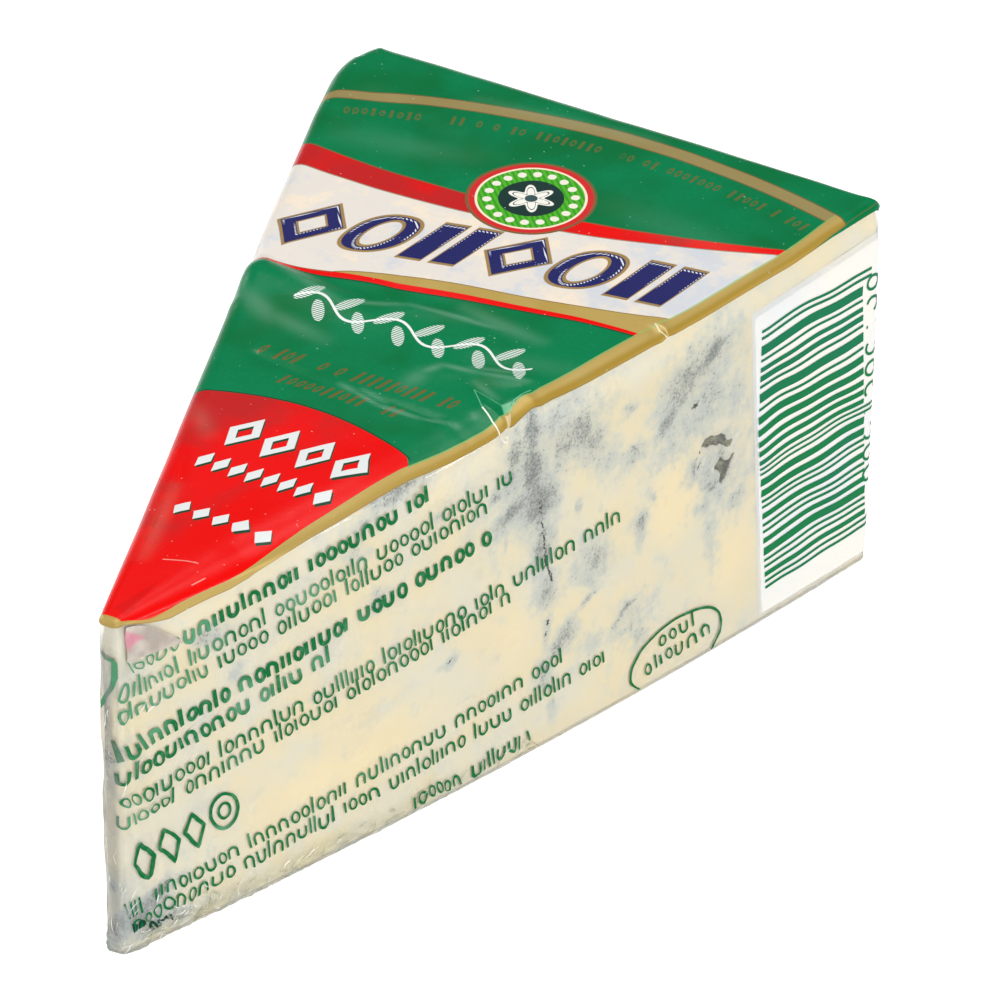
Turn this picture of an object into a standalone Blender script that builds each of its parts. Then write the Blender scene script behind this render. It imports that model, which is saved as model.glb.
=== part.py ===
"""A wedge of blue cheese in its clear film, with the printed film over its top.

Blender 4.5 script, metres, +Z up. The nose of the wedge points to -Y and the wedge rests on
its lower cut face. Inside the functions lengths are in millimetres, and the meshes are made
in metres.
"""

import math

import bpy
from mathutils import Vector

MM = 0.001

# The cut: a piece of a round cheese, blunt at the nose, a little higher at its outer side.
CUT_LENGTH = 95.4
CUT_ANGLE = math.radians(34.5)
NOSE_WIDTH = 1.8
NOSE_HEIGHT = 33.5
BACK_HEIGHT_RIGHT = 38.5
BACK_HEIGHT_LEFT = 39.6
BACK_SKEW = 2.5
RIGHT_BULGE = 1.6
LEFT_BULGE = 0.3
BACK_BULGE = 0.9

# Rounded corners in plan: the length that each one takes of the two sides that it joins. The
# shoulder is drawn to a point on the left side, at this share of its length from the corner.
NOSE_ROUNDING = 0.7
BACK_RIGHT_ROUNDING = 1.5
SHOULDER_ON_SIDE = 8.8
SHOULDER_ON_BACK = 3.4
SHOULDER_PULL = 0.375
BEND_STEPS = 8
SIDE_STEPS = 24

# Upper edge along each side: (distance from the nose, how far in it starts, how far it drops).
RIGHT_EDGE = ((0.0, 0.6, 0.6), (14.0, 4.2, 1.7), (41.0, 3.6, 1.6), (47.0, 1.6, 1.2), (95.0, 1.1, 1.1))
LEFT_EDGE = ((0.0, 0.6, 0.6), (14.0, 1.5, 1.2), (80.0, 1.6, 1.4), (95.0, 2.6, 2.4))
BACK_EDGE = ((0.0, 2.6, 2.4), (30.0, 3.0, 3.0), (62.0, 1.1, 1.1))
NOSE_EDGE = ((0.0, 0.6, 0.6), (NOSE_WIDTH, 0.6, 0.6))
FOOT_ROUNDING = 0.1

# Underside: a flat triangle with these corners in the plan, and a rim that rises a little round it.
BASE_CORNERS = ((0.4, 10.2), (22.4, 87.2), (-21.6, 87.2))
BASE_RISE = 0.7

# Layers, by how far they lie outside the true outline of the pack.
BODY_LIFT = -0.4
SKIN_LIFT = -0.1
COVER_THICKNESS = 0.4

# The printed film: how far its hem hangs past the edge of the flat top, along each side.
RIGHT_HEM = ((0.0, 1.2), (3.2, 2.4), (7.4, 3.8), (13.8, 5.2), (18.2, 4.4), (25.0, 3.7), (32.0, 3.3),
             (36.4, 3.6), (41.0, 3.7), (43.3, 3.0), (46.1, 1.6), (53.0, 1.7), (73.5, 1.7), (84.6, 1.4),
             (95.4, 1.4))
LEFT_HEM = ((0.0, 1.2), (14.0, 3.0), (95.4, 5.0))
BACK_HEM = ((0.0, 5.0), (46.0, 4.4), (62.0, 1.4))
NOSE_HEM = ((0.0, 1.2), (NOSE_WIDTH, 1.2))

# Creases of the film on the top: where each one is fullest (past the edge), where it has
# faded away, half width, and height (or depth, below zero).
CREASES = (
    ((-19.0, 57.6), (-2.0, 54.0), 1.3, -0.55),
    ((-19.0, 54.4), (2.0, 52.0), 2.2, 0.45),
    ((17.0, 40.6), (8.6, 47.4), 1.0, 0.40),
    ((17.0, 41.2), (12.6, 45.6), 0.9, -0.45),
    ((17.4, 42.6), (13.8, 48.4), 1.0, 0.35),
)

# White panel round the back right corner: along the side, along the back, and up the walls.
PANEL_ON_SIDE_TOP = 17.7
PANEL_ON_SIDE_BOTTOM = 15.3
PANEL_ON_BACK = 9.0
PANEL_BOTTOM = 1.2
PANEL_TOP_AT_SIDE = 33.8
PANEL_TOP_AT_CORNER = 35.5
PANEL_TOP_AT_BACK = 34.0
PANEL_THICKNESS = 0.25

# Folded film at the nose: a triangle on the right side, by distance along it and height.
TUCK_START = 0.9
TUCK_END = 6.9
TUCK_TOP = 31.9
TUCK_TIP = 29.8
TUCK_BOTTOM = 29.4
TUCK_TIP_WIDTH = 0.3
TUCK_THICKNESS = 0.25

# Mesh spacing.
EDGE_ROWS = 4
WALL_ROWS = 5
HEM_ROWS = 6
PANEL_ROWS = 8
PANEL_STEPS = (1.0, 0.75, 0.5, 0.3, 0.18, 0.12, 0.08, 0.05, 0.025)
TUCK_ROWS = 5
BESIDE = 0.3
LENGTH_STEPS = (0.5, 1.0, 1.6, 2.6)
LENGTH_STEP = 3.4
CREASED_FROM = 40.0
CREASED_TO = 60.0
CREASED_STEP = 1.5
WIDTH_COUNT = 22
WIDTH_CROWDING = 0.88
SHARP_ANGLE = math.radians(50.0)


def clear_scene():
    for item in list(bpy.data.objects):
        bpy.data.objects.remove(item, do_unlink=True)


def make_material(name, color, roughness):
    material = bpy.data.materials.new(name)
    material.use_nodes = True
    shader = material.node_tree.nodes["Principled BSDF"]
    shader.inputs["Base Color"].default_value = (*color, 1.0)
    shader.inputs["Roughness"].default_value = roughness
    shader.inputs["Metallic"].default_value = 0.0
    material.diffuse_color = (*color, 1.0)
    return material


def read_table(table, where):
    """Value of a named table at a distance, straight between its rows."""
    if where <= table[0][0]:
        return table[0][1:]
    for low, high in zip(table, table[1:]):
        if where <= high[0]:
            share = (where - low[0]) / (high[0] - low[0])
            return tuple(a + (b - a) * share for a, b in zip(low[1:], high[1:]))
    return table[-1][1:]


def bend(start, corner, end, first, last):
    """Part of a rounded corner: a curve from start to end that is drawn towards the corner."""
    points = []
    for step in range(BEND_STEPS + 1):
        t = first + (last - first) * step / BEND_STEPS
        points.append(start * (1 - t) ** 2 + corner * 2 * t * (1 - t) + end * t * t)
    return points


def bulged(start, end, bulge):
    """A side from start to end that swells by bulge in its middle, to the right of its way."""
    along = end - start
    outward = Vector((along.y, -along.x)).normalized()
    points = []
    for step in range(SIDE_STEPS + 1):
        t = step / SIDE_STEPS
        points.append(start + along * t + outward * (bulge * 4 * t * (1 - t)))
    return points


def towards(start, end, distance):
    return start + (end - start).normalized() * distance


def plan_curves():
    """The four sides of the plan, each between the middles of its rounded corners."""
    half = CUT_ANGLE / 2
    nose_reach = NOSE_WIDTH / 2 / math.tan(half)
    nose_right = Vector((NOSE_WIDTH / 2, nose_reach))
    nose_left = Vector((-NOSE_WIDTH / 2, nose_reach))
    back_right = Vector((math.sin(half), math.cos(half))) * CUT_LENGTH
    left_length = CUT_LENGTH + BACK_SKEW
    back_left = Vector((-math.sin(half), math.cos(half))) * left_length

    right_in = towards(nose_right, back_right, NOSE_ROUNDING)
    right_out = towards(back_right, nose_right, BACK_RIGHT_ROUNDING)
    back_in = towards(back_right, back_left, BACK_RIGHT_ROUNDING)
    apex = towards(back_left, back_right, SHOULDER_ON_BACK)
    shoulder = towards(back_left, nose_left, SHOULDER_ON_SIDE)
    shoulder_pull = towards(back_left, nose_left, SHOULDER_ON_SIDE * SHOULDER_PULL)
    left_out = towards(nose_left, back_left, NOSE_ROUNDING)
    nose_from = towards(nose_left, nose_right, NOSE_ROUNDING)
    nose_to = towards(nose_right, nose_left, NOSE_ROUNDING)

    right = bend(nose_to, nose_right, right_in, 0.5, 1.0)
    right += bulged(right_in, right_out, RIGHT_BULGE)
    right += bend(right_out, back_right, back_in, 0.0, 0.5)
    back = bend(right_out, back_right, back_in, 0.5, 1.0)
    back += bulged(back_in, apex, BACK_BULGE)
    back += bend(apex, shoulder_pull, shoulder, 0.0, 0.5)
    left = bend(apex, shoulder_pull, shoulder, 0.5, 1.0)
    left += bulged(shoulder, left_out, LEFT_BULGE)
    left += bend(left_out, nose_left, nose_from, 0.0, 0.5)
    nose = bend(left_out, nose_left, nose_from, 0.5, 1.0)
    nose += bend(nose_to, nose_right, right_in, 0.0, 0.5)
    return right, back[::-1], left[::-1], nose


def lengths_along(points):
    total = [0.0]
    for a, b in zip(points, points[1:]):
        total.append(total[-1] + (b - a).length)
    return total


def resample(points, shares):
    """Points at the given shares of a polyline's length, with the distance of each."""
    total = lengths_along(points)
    result = []
    for share in shares:
        wanted = share * total[-1]
        index = 0
        while index < len(points) - 2 and total[index + 1] < wanted:
            index += 1
        span = total[index + 1] - total[index]
        t = 0.0 if span == 0.0 else (wanted - total[index]) / span
        result.append((points[index].lerp(points[index + 1], t), wanted))
    return result


def length_shares():
    """Rows from nose to back: close at both ends and where the film is creased."""
    places = [0.0, *LENGTH_STEPS]
    while places[-1] < CUT_LENGTH - LENGTH_STEPS[-1] - LENGTH_STEP:
        creased = CREASED_FROM <= places[-1] < CREASED_TO
        places.append(places[-1] + (CREASED_STEP if creased else LENGTH_STEP))
    places += [CUT_LENGTH - step for step in reversed(LENGTH_STEPS)]
    places.append(CUT_LENGTH)
    return [place / CUT_LENGTH for place in places]


def width_shares():
    """Columns from left to right, closer towards both sides."""
    shares = [0.0]
    for step in range(1, WIDTH_COUNT):
        turn = math.pi * (0.5 + WIDTH_CROWDING * (step / WIDTH_COUNT - 0.5))
        shares.append(0.5 - 0.5 * math.cos(turn))
    shares.append(1.0)
    return shares


def crease_height(x, y):
    """Height that the film's creases add to the top."""
    height = 0.0
    for start, end, half_width, rise in CREASES:
        a = Vector(start)
        along = Vector(end) - a
        offset = Vector((x, y)) - a
        t = min(max(offset.dot(along) / along.length_squared, 0.0), 1.0)
        away = (offset - along * t).length / half_width
        fade = math.cos(math.pi / 2 * t)
        height += rise * fade * math.exp(-away * away)
    return height


def top_height(point):
    """Height of the wedge's top over a point of the plan."""
    half = CUT_ANGLE / 2
    share = point.y / (CUT_LENGTH * math.cos(half))
    across = point.x / (2 * CUT_LENGTH * math.sin(half)) + 0.5
    back = BACK_HEIGHT_LEFT + (BACK_HEIGHT_RIGHT - BACK_HEIGHT_LEFT) * across
    flat = NOSE_HEIGHT + (back - NOSE_HEIGHT) * share
    return flat + crease_height(point.x, point.y)


class Station:
    """One place on the plan's outline, with the section that the film follows there."""

    def __init__(self, point, edge, hem):
        self.point = point
        self.inset, self.drop = edge
        self.hem = hem[0]
        self.outward = None
        self.arc = math.pi / 2 * math.sqrt((self.inset ** 2 + self.drop ** 2) / 2)

    def rim(self):
        """Where the flat top ends."""
        return self.point - self.outward * self.inset

    def at(self, way, lift):
        """A point of the film: way is measured down from the rim, lift outward from the food."""
        top = top_height(self.rim())
        angle = max(math.pi / 2 * (1 - way / self.arc), 0.0)
        below = max(way - self.arc, 0.0)
        flat = self.point - self.outward * (self.inset * (1 - math.cos(angle)))
        flat = flat + self.outward * (lift * math.cos(angle))
        height = top - self.drop * (1 - math.sin(angle)) - below + lift * math.sin(angle)
        return Vector((flat.x, flat.y, height))

    def at_height(self, height, lift):
        flat = self.point + self.outward * lift
        return Vector((flat.x, flat.y, height))

    def wall_height(self, share):
        """Height on the wall, from its top at share 0 to the start of the foot at share 1."""
        lowest = FOOT_ROUNDING + BASE_RISE
        return (top_height(self.rim()) - self.drop) * (1 - share) + lowest * share


def side_stations(points, shares, edge, hem):
    stations = []
    for point, distance in resample(points, shares):
        stations.append(Station(point, read_table(edge, distance), read_table(hem, distance)))
    return stations


class Plan:
    """Stations on the four sides, in the order of the grid that fills the plan."""

    def __init__(self):
        right, back, left, nose = plan_curves()
        rows = length_shares()
        columns = width_shares()
        self.right = side_stations(right, rows, RIGHT_EDGE, RIGHT_HEM)
        self.left = side_stations(left, rows, LEFT_EDGE, LEFT_HEM)
        self.back = side_stations(back, columns, BACK_EDGE, BACK_HEM)
        self.nose = side_stations(nose, columns, NOSE_EDGE, NOSE_HEM)
        self.back[0] = self.left[-1]
        self.back[-1] = self.right[-1]
        self.nose[0] = self.left[0]
        self.nose[-1] = self.right[0]
        self.rows = rows
        self.columns = columns
        self.loop = self.right + self.back[-2::-1] + self.left[-2::-1] + self.nose[1:-1]
        count = len(self.loop)
        for index, station in enumerate(self.loop):
            way = self.loop[(index + 1) % count].point - self.loop[index - 1].point
            station.outward = Vector((way.y, -way.x)).normalized()

    def fill(self, place):
        """Grid inside the loop: the sides are joined by lines both ways (a Coons patch)."""
        right = [place(station) for station in self.right]
        left = [place(station) for station in self.left]
        back = [place(station) for station in self.back]
        nose = [place(station) for station in self.nose]
        grid = []
        for row, v in enumerate(self.rows):
            line = []
            for column, u in enumerate(self.columns):
                across = left[row].lerp(right[row], u)
                along = nose[column].lerp(back[column], v)
                corners = left[0].lerp(right[0], u).lerp(left[-1].lerp(right[-1], u), v)
                line.append(across + along - corners)
            grid.append(line)
        return grid

    def loop_indices(self):
        """Grid places (row, column) of the loop's stations, in the loop's order."""
        last_row = len(self.rows) - 1
        last_column = len(self.columns) - 1
        places = [(row, last_column) for row in range(last_row + 1)]
        places += [(last_row, column) for column in range(last_column - 1, -1, -1)]
        places += [(row, 0) for row in range(last_row - 1, -1, -1)]
        places += [(0, column) for column in range(1, last_column)]
        return places


class Sheet:
    """Collects vertices and faces of one closed piece."""

    def __init__(self):
        self.vertices = []
        self.faces = []

    def add_row(self, points):
        first = len(self.vertices)
        self.vertices += [tuple(point * MM) for point in points]
        return list(range(first, len(self.vertices)))

    def add_grid(self, grid, upward=True):
        rows = [self.add_row(line) for line in grid]
        for low, high in zip(rows, rows[1:]):
            for a, b, c, d in zip(low, low[1:], high[1:], high):
                self.faces.append((a, b, c, d) if upward else (d, c, b, a))
        return rows

    def join(self, upper, lower, closed=True):
        """Faces between two rows; seen from outside, the rows run to the right."""
        count = len(upper) if closed else len(upper) - 1
        for index in range(count):
            following = (index + 1) % len(upper)
            self.faces.append((lower[index], lower[following], upper[following], upper[index]))

    def build(self, name, material, collection):
        mesh = bpy.data.meshes.new(name)
        mesh.from_pydata(self.vertices, [], self.faces)
        mesh.update()
        mesh.materials.append(material)
        mesh.shade_smooth()
        mesh.set_sharp_from_angle(angle=SHARP_ANGLE)
        piece = bpy.data.objects.new(name, mesh)
        collection.objects.link(piece)
        return piece


def top_grid(plan, lift):
    """Flat top between the rims, with its own creases."""
    flat = plan.fill(lambda station: station.rim())
    return [[Vector((p.x, p.y, top_height(p) + lift)) for p in line] for line in flat]


def make_wedge(plan, material, collection):
    """The cheese in its clear film, as one closed body that rests on its flat underside."""
    sheet = Sheet()
    rows = sheet.add_grid(top_grid(plan, BODY_LIFT))
    upper = [rows[row][column] for row, column in plan.loop_indices()]
    for step in range(1, EDGE_ROWS + 1):
        lower = sheet.add_row([s.at(s.arc * step / EDGE_ROWS, BODY_LIFT) for s in plan.loop])
        sheet.join(upper, lower)
        upper = lower
    for step in range(1, WALL_ROWS + 1):
        lower = sheet.add_row([s.at_height(s.wall_height(step / WALL_ROWS), BODY_LIFT)
                               for s in plan.loop])
        sheet.join(upper, lower)
        upper = lower
    foot = sheet.add_row([s.at_height(BASE_RISE, BODY_LIFT - FOOT_ROUNDING) for s in plan.loop])
    sheet.join(upper, foot)
    add_underside(sheet, plan, foot)
    return sheet.build("cheese_wedge", material, collection)


def add_underside(sheet, plan, edge):
    """Flat triangle on the floor, joined to the edge above it by fans of narrow faces."""
    flat = [Vector(corner) for corner in BASE_CORNERS]
    base = sheet.add_row([Vector((corner.x, corner.y, 0.0)) for corner in flat])
    sheet.faces.append(tuple(reversed(base)))
    nearest = [min(range(len(flat)), key=lambda k: (flat[k] - station.point).length)
               for station in plan.loop]
    for index, corner in enumerate(nearest):
        following = (index + 1) % len(edge)
        next_corner = nearest[following]
        sheet.faces.append((edge[following], edge[index], base[next_corner]))
        if next_corner != corner:
            sheet.faces.append((base[next_corner], edge[index], base[corner]))


def make_printed_film(plan, material, collection):
    """The printed part of the film: over the top and a little way down every side."""
    sheet = Sheet()
    hems = []
    for lift, upward in ((SKIN_LIFT, False), (SKIN_LIFT + COVER_THICKNESS, True)):
        rows = sheet.add_grid(top_grid(plan, lift), upward)
        upper = [rows[row][column] for row, column in plan.loop_indices()]
        for step in range(1, HEM_ROWS + 1):
            lower = sheet.add_row([s.at(s.hem * step / HEM_ROWS, lift) for s in plan.loop])
            if upward:
                sheet.join(upper, lower)
            else:
                sheet.join(lower, upper)
            upper = lower
        hems.append(upper)
    sheet.join(hems[1], hems[0])
    return sheet.build("printed_film", material, collection)


def wall_station(curve, distance):
    """Station on a wall, for a skin whose columns don't follow the plan's own."""
    total = lengths_along(curve)[-1]
    places = (max(distance - BESIDE, 0.0), distance, min(distance + BESIDE, total))
    low, point, high = (found[0] for found in resample(curve, [place / total for place in places]))
    station = Station(point, (0.0, 0.0), (0.0,))
    station.outward = Vector((high.y - low.y, low.x - high.x)).normalized()
    return station


def make_panel(material, collection):
    """White panel with the bars, bent round the back right corner."""
    right, back = plan_curves()[:2]
    corner = lengths_along(right)[-1]
    curve = right + back[-2::-1]
    shares = [-step for step in PANEL_STEPS] + [0.0] + list(reversed(PANEL_STEPS))
    sheet = Sheet()
    faces = []
    for lift in (SKIN_LIFT, SKIN_LIFT + PANEL_THICKNESS):
        rows = []
        for step in range(PANEL_ROWS + 1):
            up = step / PANEL_ROWS
            line = []
            for share in shares:
                on_side = PANEL_ON_SIDE_BOTTOM + (PANEL_ON_SIDE_TOP - PANEL_ON_SIDE_BOTTOM) * up
                reach = on_side if share < 0.0 else PANEL_ON_BACK
                end_top = PANEL_TOP_AT_SIDE if share < 0.0 else PANEL_TOP_AT_BACK
                top = PANEL_TOP_AT_CORNER + (end_top - PANEL_TOP_AT_CORNER) * abs(share)
                station = wall_station(curve, corner + share * reach)
                line.append(station.at_height(PANEL_BOTTOM + (top - PANEL_BOTTOM) * up, lift))
            rows.append(sheet.add_row(line))
        faces.append(rows)
    close_skin(sheet, faces[0], faces[1])
    return sheet.build("barcode_panel", material, collection)


def close_skin(sheet, inner, outer):
    """Closes two grids of rows (bottom to top, left to right from outside) into one skin."""
    for low, high in zip(outer, outer[1:]):
        sheet.join(high, low, closed=False)
    for low, high in zip(inner, inner[1:]):
        sheet.join(low, high, closed=False)
    sheet.join(outer[0], inner[0], closed=False)
    sheet.join(inner[-1], outer[-1], closed=False)
    sheet.join([row[0] for row in inner], [row[0] for row in outer], closed=False)
    sheet.join([row[-1] for row in outer], [row[-1] for row in inner], closed=False)


def make_tuck(material, collection):
    """Fold of film on the right side at the nose: wide at the nose, blunt at its tip."""
    right = plan_curves()[0]
    sheet = Sheet()
    faces = []
    for lift in (SKIN_LIFT, SKIN_LIFT + TUCK_THICKNESS):
        rows = []
        for up in (0.0, 0.5, 1.0):
            line = []
            for step in range(TUCK_ROWS + 1):
                share = step / TUCK_ROWS
                top = TUCK_TOP + (TUCK_TIP - TUCK_TOP) * share
                bottom = TUCK_BOTTOM + (TUCK_TIP - TUCK_TIP_WIDTH - TUCK_BOTTOM) * share
                station = wall_station(right, TUCK_START + (TUCK_END - TUCK_START) * share)
                line.append(station.at_height(bottom + (top - bottom) * up, lift))
            rows.append(sheet.add_row(line))
        faces.append(rows)
    close_skin(sheet, faces[0], faces[1])
    return sheet.build("nose_fold", material, collection)


def centre_on_floor(pieces):
    """Moves the pieces so that the whole stands on the floor, centred over the origin."""
    corners = [piece.matrix_world @ Vector(corner) for piece in pieces for corner in piece.bound_box]
    low = [min(corner[axis] for corner in corners) for axis in range(3)]
    high = [max(corner[axis] for corner in corners) for axis in range(3)]
    for piece in pieces:
        piece.location = (-(low[0] + high[0]) / 2, -(low[1] + high[1]) / 2, -low[2])


def main():
    clear_scene()
    collection = bpy.data.collections.new("blue_cheese")
    bpy.context.scene.collection.children.link(collection)
    plan = Plan()
    pieces = [
        make_wedge(plan, make_material("cheese", (0.86, 0.77, 0.54), 0.35), collection),
        make_printed_film(plan, make_material("green_print", (0.004, 0.22, 0.075), 0.3), collection),
        make_panel(make_material("white_print", (0.78, 0.78, 0.75), 0.4), collection),
        make_tuck(make_material("film", (0.72, 0.70, 0.66), 0.25), collection),
    ]
    bpy.context.view_layer.update()
    centre_on_floor(pieces)


main()
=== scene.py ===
# A wedge of blue cheese in clear film with a printed top: the looks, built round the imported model.
import math

import bpy
import numpy as np
from mathutils import Matrix, Vector


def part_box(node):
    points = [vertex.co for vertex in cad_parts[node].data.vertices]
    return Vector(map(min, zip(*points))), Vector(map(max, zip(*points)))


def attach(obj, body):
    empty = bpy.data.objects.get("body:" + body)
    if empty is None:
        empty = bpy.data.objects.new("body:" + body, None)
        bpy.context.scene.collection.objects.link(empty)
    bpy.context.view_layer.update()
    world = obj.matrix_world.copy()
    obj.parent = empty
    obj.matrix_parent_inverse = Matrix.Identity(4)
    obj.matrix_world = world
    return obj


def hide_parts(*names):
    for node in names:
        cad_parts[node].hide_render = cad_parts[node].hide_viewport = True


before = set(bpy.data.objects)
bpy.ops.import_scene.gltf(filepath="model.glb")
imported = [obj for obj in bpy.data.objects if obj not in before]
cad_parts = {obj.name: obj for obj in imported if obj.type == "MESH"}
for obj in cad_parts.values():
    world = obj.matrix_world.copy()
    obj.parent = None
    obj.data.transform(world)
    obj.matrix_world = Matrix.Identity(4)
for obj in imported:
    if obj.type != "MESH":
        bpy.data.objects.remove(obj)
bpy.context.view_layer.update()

print("frame loaded:", ", ".join(sorted(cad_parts)))

mm = 0.001

# the piece as cut from the round: lengths in mm, bulges and roundings of its plan
cut = {
    "length": 95.4,
    "angle": math.radians(34.5),
    "noseWidth": 1.8,
    "noseHeight": 33.5,
    "backHeightRight": 38.5,
    "backHeightLeft": 39.6,
    "backSkew": 2.5,
    "rightBulge": 1.6,
    "leftBulge": 0.3,
    "backBulge": 0.9,
    "noseRounding": 0.7,
    "backRightRounding": 1.5,
    "shoulderOnSide": 8.8,
    "shoulderOnBack": 3.4,
    "shoulderPull": 0.375,
    "foot": 0.2,
    "footRise": 0.06,
}
# upper edges: distance from the nose (or from the left), how far in they start, how far they drop
edges = {
    "right": ((0, 0.6, 0.6), (14, 4.2, 1.7), (41, 3.6, 1.6), (47, 1.6, 1.2), (95, 1.1, 1.1)),
    "left": ((0, 0.6, 0.6), (14, 1.5, 1.2), (80, 1.6, 1.4), (95, 2.6, 2.4)),
    "back": ((0, 2.6, 2.4), (30, 3.0, 3.0), (62, 1.1, 1.1)),
    "nose": ((0, 0.6, 0.6), (1.8, 0.6, 0.6)),
}
# the printed hem: distance, and how far it hangs past the flat top
hems = {
    "right": ((0, 0.8), (0.8, 0.9), (1.8, 1.5), (3.2, 2.35), (5.3, 3.4), (7.4, 3.8), (9.7, 4.35),
              (11.8, 4.95), (13.8, 5.2), (16.1, 4.75), (18.2, 4.4), (20.5, 4.1), (25, 3.8),
              (29.7, 3.45), (32, 3.35), (34.1, 3.5), (36.4, 3.65), (41, 3.75), (43.3, 3.05),
              (44.7, 2.2), (46.1, 1.6), (48.4, 1.5), (53, 1.68), (73.5, 1.66), (79, 1.7),
              (84.6, 1.4), (95.4, 1.4)),
    "left": ((0, 0.8), (2, 1.4), (14, 3.0), (95.4, 5.0)),
    "back": ((0, 5.0), (46, 4.4), (62, 1.4)),
    "nose": ((0, 0.8), (1.8, 0.8)),
}
halfAngle = cut["angle"] / 2
alongCut = {"right": np.array([math.sin(halfAngle), math.cos(halfAngle)]),
            "left": np.array([-math.sin(halfAngle), math.cos(halfAngle)])}


def softNoise(x, y, seed, cells=64):  # smooth random field from 0 to 1, a lump to each unit
    table = np.random.default_rng(seed).random((cells, cells))
    x0, y0 = np.floor(x).astype(int), np.floor(y).astype(int)
    u, v = x - x0, y - y0
    u, v = u * u * (3 - 2 * u), v * v * (3 - 2 * v)
    x1, y1 = (x0 + 1) % cells, (y0 + 1) % cells
    x0, y0 = x0 % cells, y0 % cells
    near = table[x0, y0] * (1 - u) + table[x1, y0] * u
    far = table[x0, y1] * (1 - u) + table[x1, y1] * u
    return near * (1 - v) + far * v


def layeredNoise(x, y, seed, layers=3):  # finer layers are weaker, and moved aside
    total = 0
    for k in range(layers):
        total = total + softNoise(x * 2 ** k + 7.3 * k, y * 2 ** k + 3.1 * k, seed + k) / 2 ** k
    return total / sum(1 / 2 ** k for k in range(layers))


def smooth(value, low, high):
    t = np.clip((value - low) / (high - low), 0, 1)
    return t * t * (3 - 2 * t)


def nearLine(x, y, start, end):  # share along a straight line, and distance from it
    dx, dy = end[0] - start[0], end[1] - start[1]
    t = np.clip(((x - start[0]) * dx + (y - start[1]) * dy) / (dx * dx + dy * dy), 0, 1)
    return t, np.hypot(x - start[0] - dx * t, y - start[1] - dy * t)


def bend(start, corner, end, first, last, steps=12):
    t = np.linspace(first, last, steps + 1)[:, None]
    return start * (1 - t) ** 2 + corner * 2 * t * (1 - t) + end * t * t


def swollen(start, end, bulge, steps=48):
    t = np.linspace(0, 1, steps + 1)[:, None]
    along = end - start
    outward = np.array([along[1], -along[0]]) / np.linalg.norm(along)
    return start + along * t + outward * bulge * 4 * t * (1 - t)


def towards(start, end, distance):
    return start + (end - start) * distance / np.linalg.norm(end - start)


def planSides():  # right and left run from nose to back, nose and back from left to right
    reach = cut["noseWidth"] / 2 / math.tan(halfAngle)
    noseRight = np.array([cut["noseWidth"] / 2, reach])
    noseLeft = np.array([-cut["noseWidth"] / 2, reach])
    backRight = alongCut["right"] * cut["length"]
    backLeft = alongCut["left"] * (cut["length"] + cut["backSkew"])
    rightIn = towards(noseRight, backRight, cut["noseRounding"])
    rightOut = towards(backRight, noseRight, cut["backRightRounding"])
    backIn = towards(backRight, backLeft, cut["backRightRounding"])
    apex = towards(backLeft, backRight, cut["shoulderOnBack"])
    shoulder = towards(backLeft, noseLeft, cut["shoulderOnSide"])
    pull = towards(backLeft, noseLeft, cut["shoulderOnSide"] * cut["shoulderPull"])
    leftOut = towards(noseLeft, backLeft, cut["noseRounding"])
    noseFrom = towards(noseLeft, noseRight, cut["noseRounding"])
    noseTo = towards(noseRight, noseLeft, cut["noseRounding"])
    right = [bend(noseTo, noseRight, rightIn, 0.5, 1), swollen(rightIn, rightOut, cut["rightBulge"]),
             bend(rightOut, backRight, backIn, 0, 0.5)]
    back = [bend(rightOut, backRight, backIn, 0.5, 1), swollen(backIn, apex, cut["backBulge"]),
            bend(apex, pull, shoulder, 0, 0.5)]
    left = [bend(apex, pull, shoulder, 0.5, 1), swollen(shoulder, leftOut, cut["leftBulge"]),
            bend(leftOut, noseLeft, noseFrom, 0, 0.5)]
    nose = [bend(leftOut, noseLeft, noseFrom, 0.5, 1), bend(noseTo, noseRight, rightIn, 0, 0.5)]
    return {"right": np.vstack(right), "back": np.vstack(back)[::-1], "left": np.vstack(left)[::-1],
            "nose": np.vstack(nose)}


def lengthsAlong(points):
    return np.concatenate([[0.0], np.cumsum(np.linalg.norm(np.diff(points, axis=0), axis=1))])


sides = planSides()

topFilm = {
    "creases": (  # fullest here, faded away there, half width, height
        ((-19.0, 57.6), (-2.0, 54.0), 1.3, -0.55),
        ((-19.0, 54.4), (2.0, 52.0), 2.2, 0.45),
        ((17.0, 40.6), (8.6, 47.4), 1.0, 0.40),
        ((17.0, 41.2), (12.6, 45.6), 0.9, -0.45),
        ((17.4, 42.6), (13.8, 48.4), 1.0, 0.35),
    ),
    "fineCreases": (
        ((17.0, 40.4), (10.2, 46.4), 0.26, 0.34),
        ((16.6, 41.2), (14.2, 49.4), 0.32, 0.30),
        ((-9.0, 42.4), (0.5, 40.6), 0.6, -0.16),
        ((10.0, 41.0), (0.0, 41.6), 0.5, -0.14),
        ((13.9, 49.6), (3.0, 46.8), 1.3, 0.22),
        ((-17.0, 50.6), (-11.0, 47.4), 0.8, 0.22),
        ((4.0, 56.0), (-9.0, 53.4), 1.1, 0.16),
        ((-3.0, 57.0), (9.0, 55.6), 1.6, -0.14),
        ((21.4, 61.2), (18.6, 64.0), 0.45, 0.26),
        ((20.4, 61.4), (18.8, 62.6), 0.5, -0.2),
        ((-21.0, 84.0), (2.0, 76.0), 1.6, -0.16),
        ((-8.6, 30.0), (-1.0, 14.0), 0.5, -0.12),
    ),
    "waves": ((7.5, 0.16, 11), (2.6, 0.035, 23)),  # length, height, seed
}


def flatTop(x, y):
    share = y / (cut["length"] * math.cos(halfAngle))
    across = x / (2 * cut["length"] * math.sin(halfAngle)) + 0.5
    back = cut["backHeightLeft"] + (cut["backHeightRight"] - cut["backHeightLeft"]) * across
    return cut["noseHeight"] + (back - cut["noseHeight"]) * share


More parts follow.
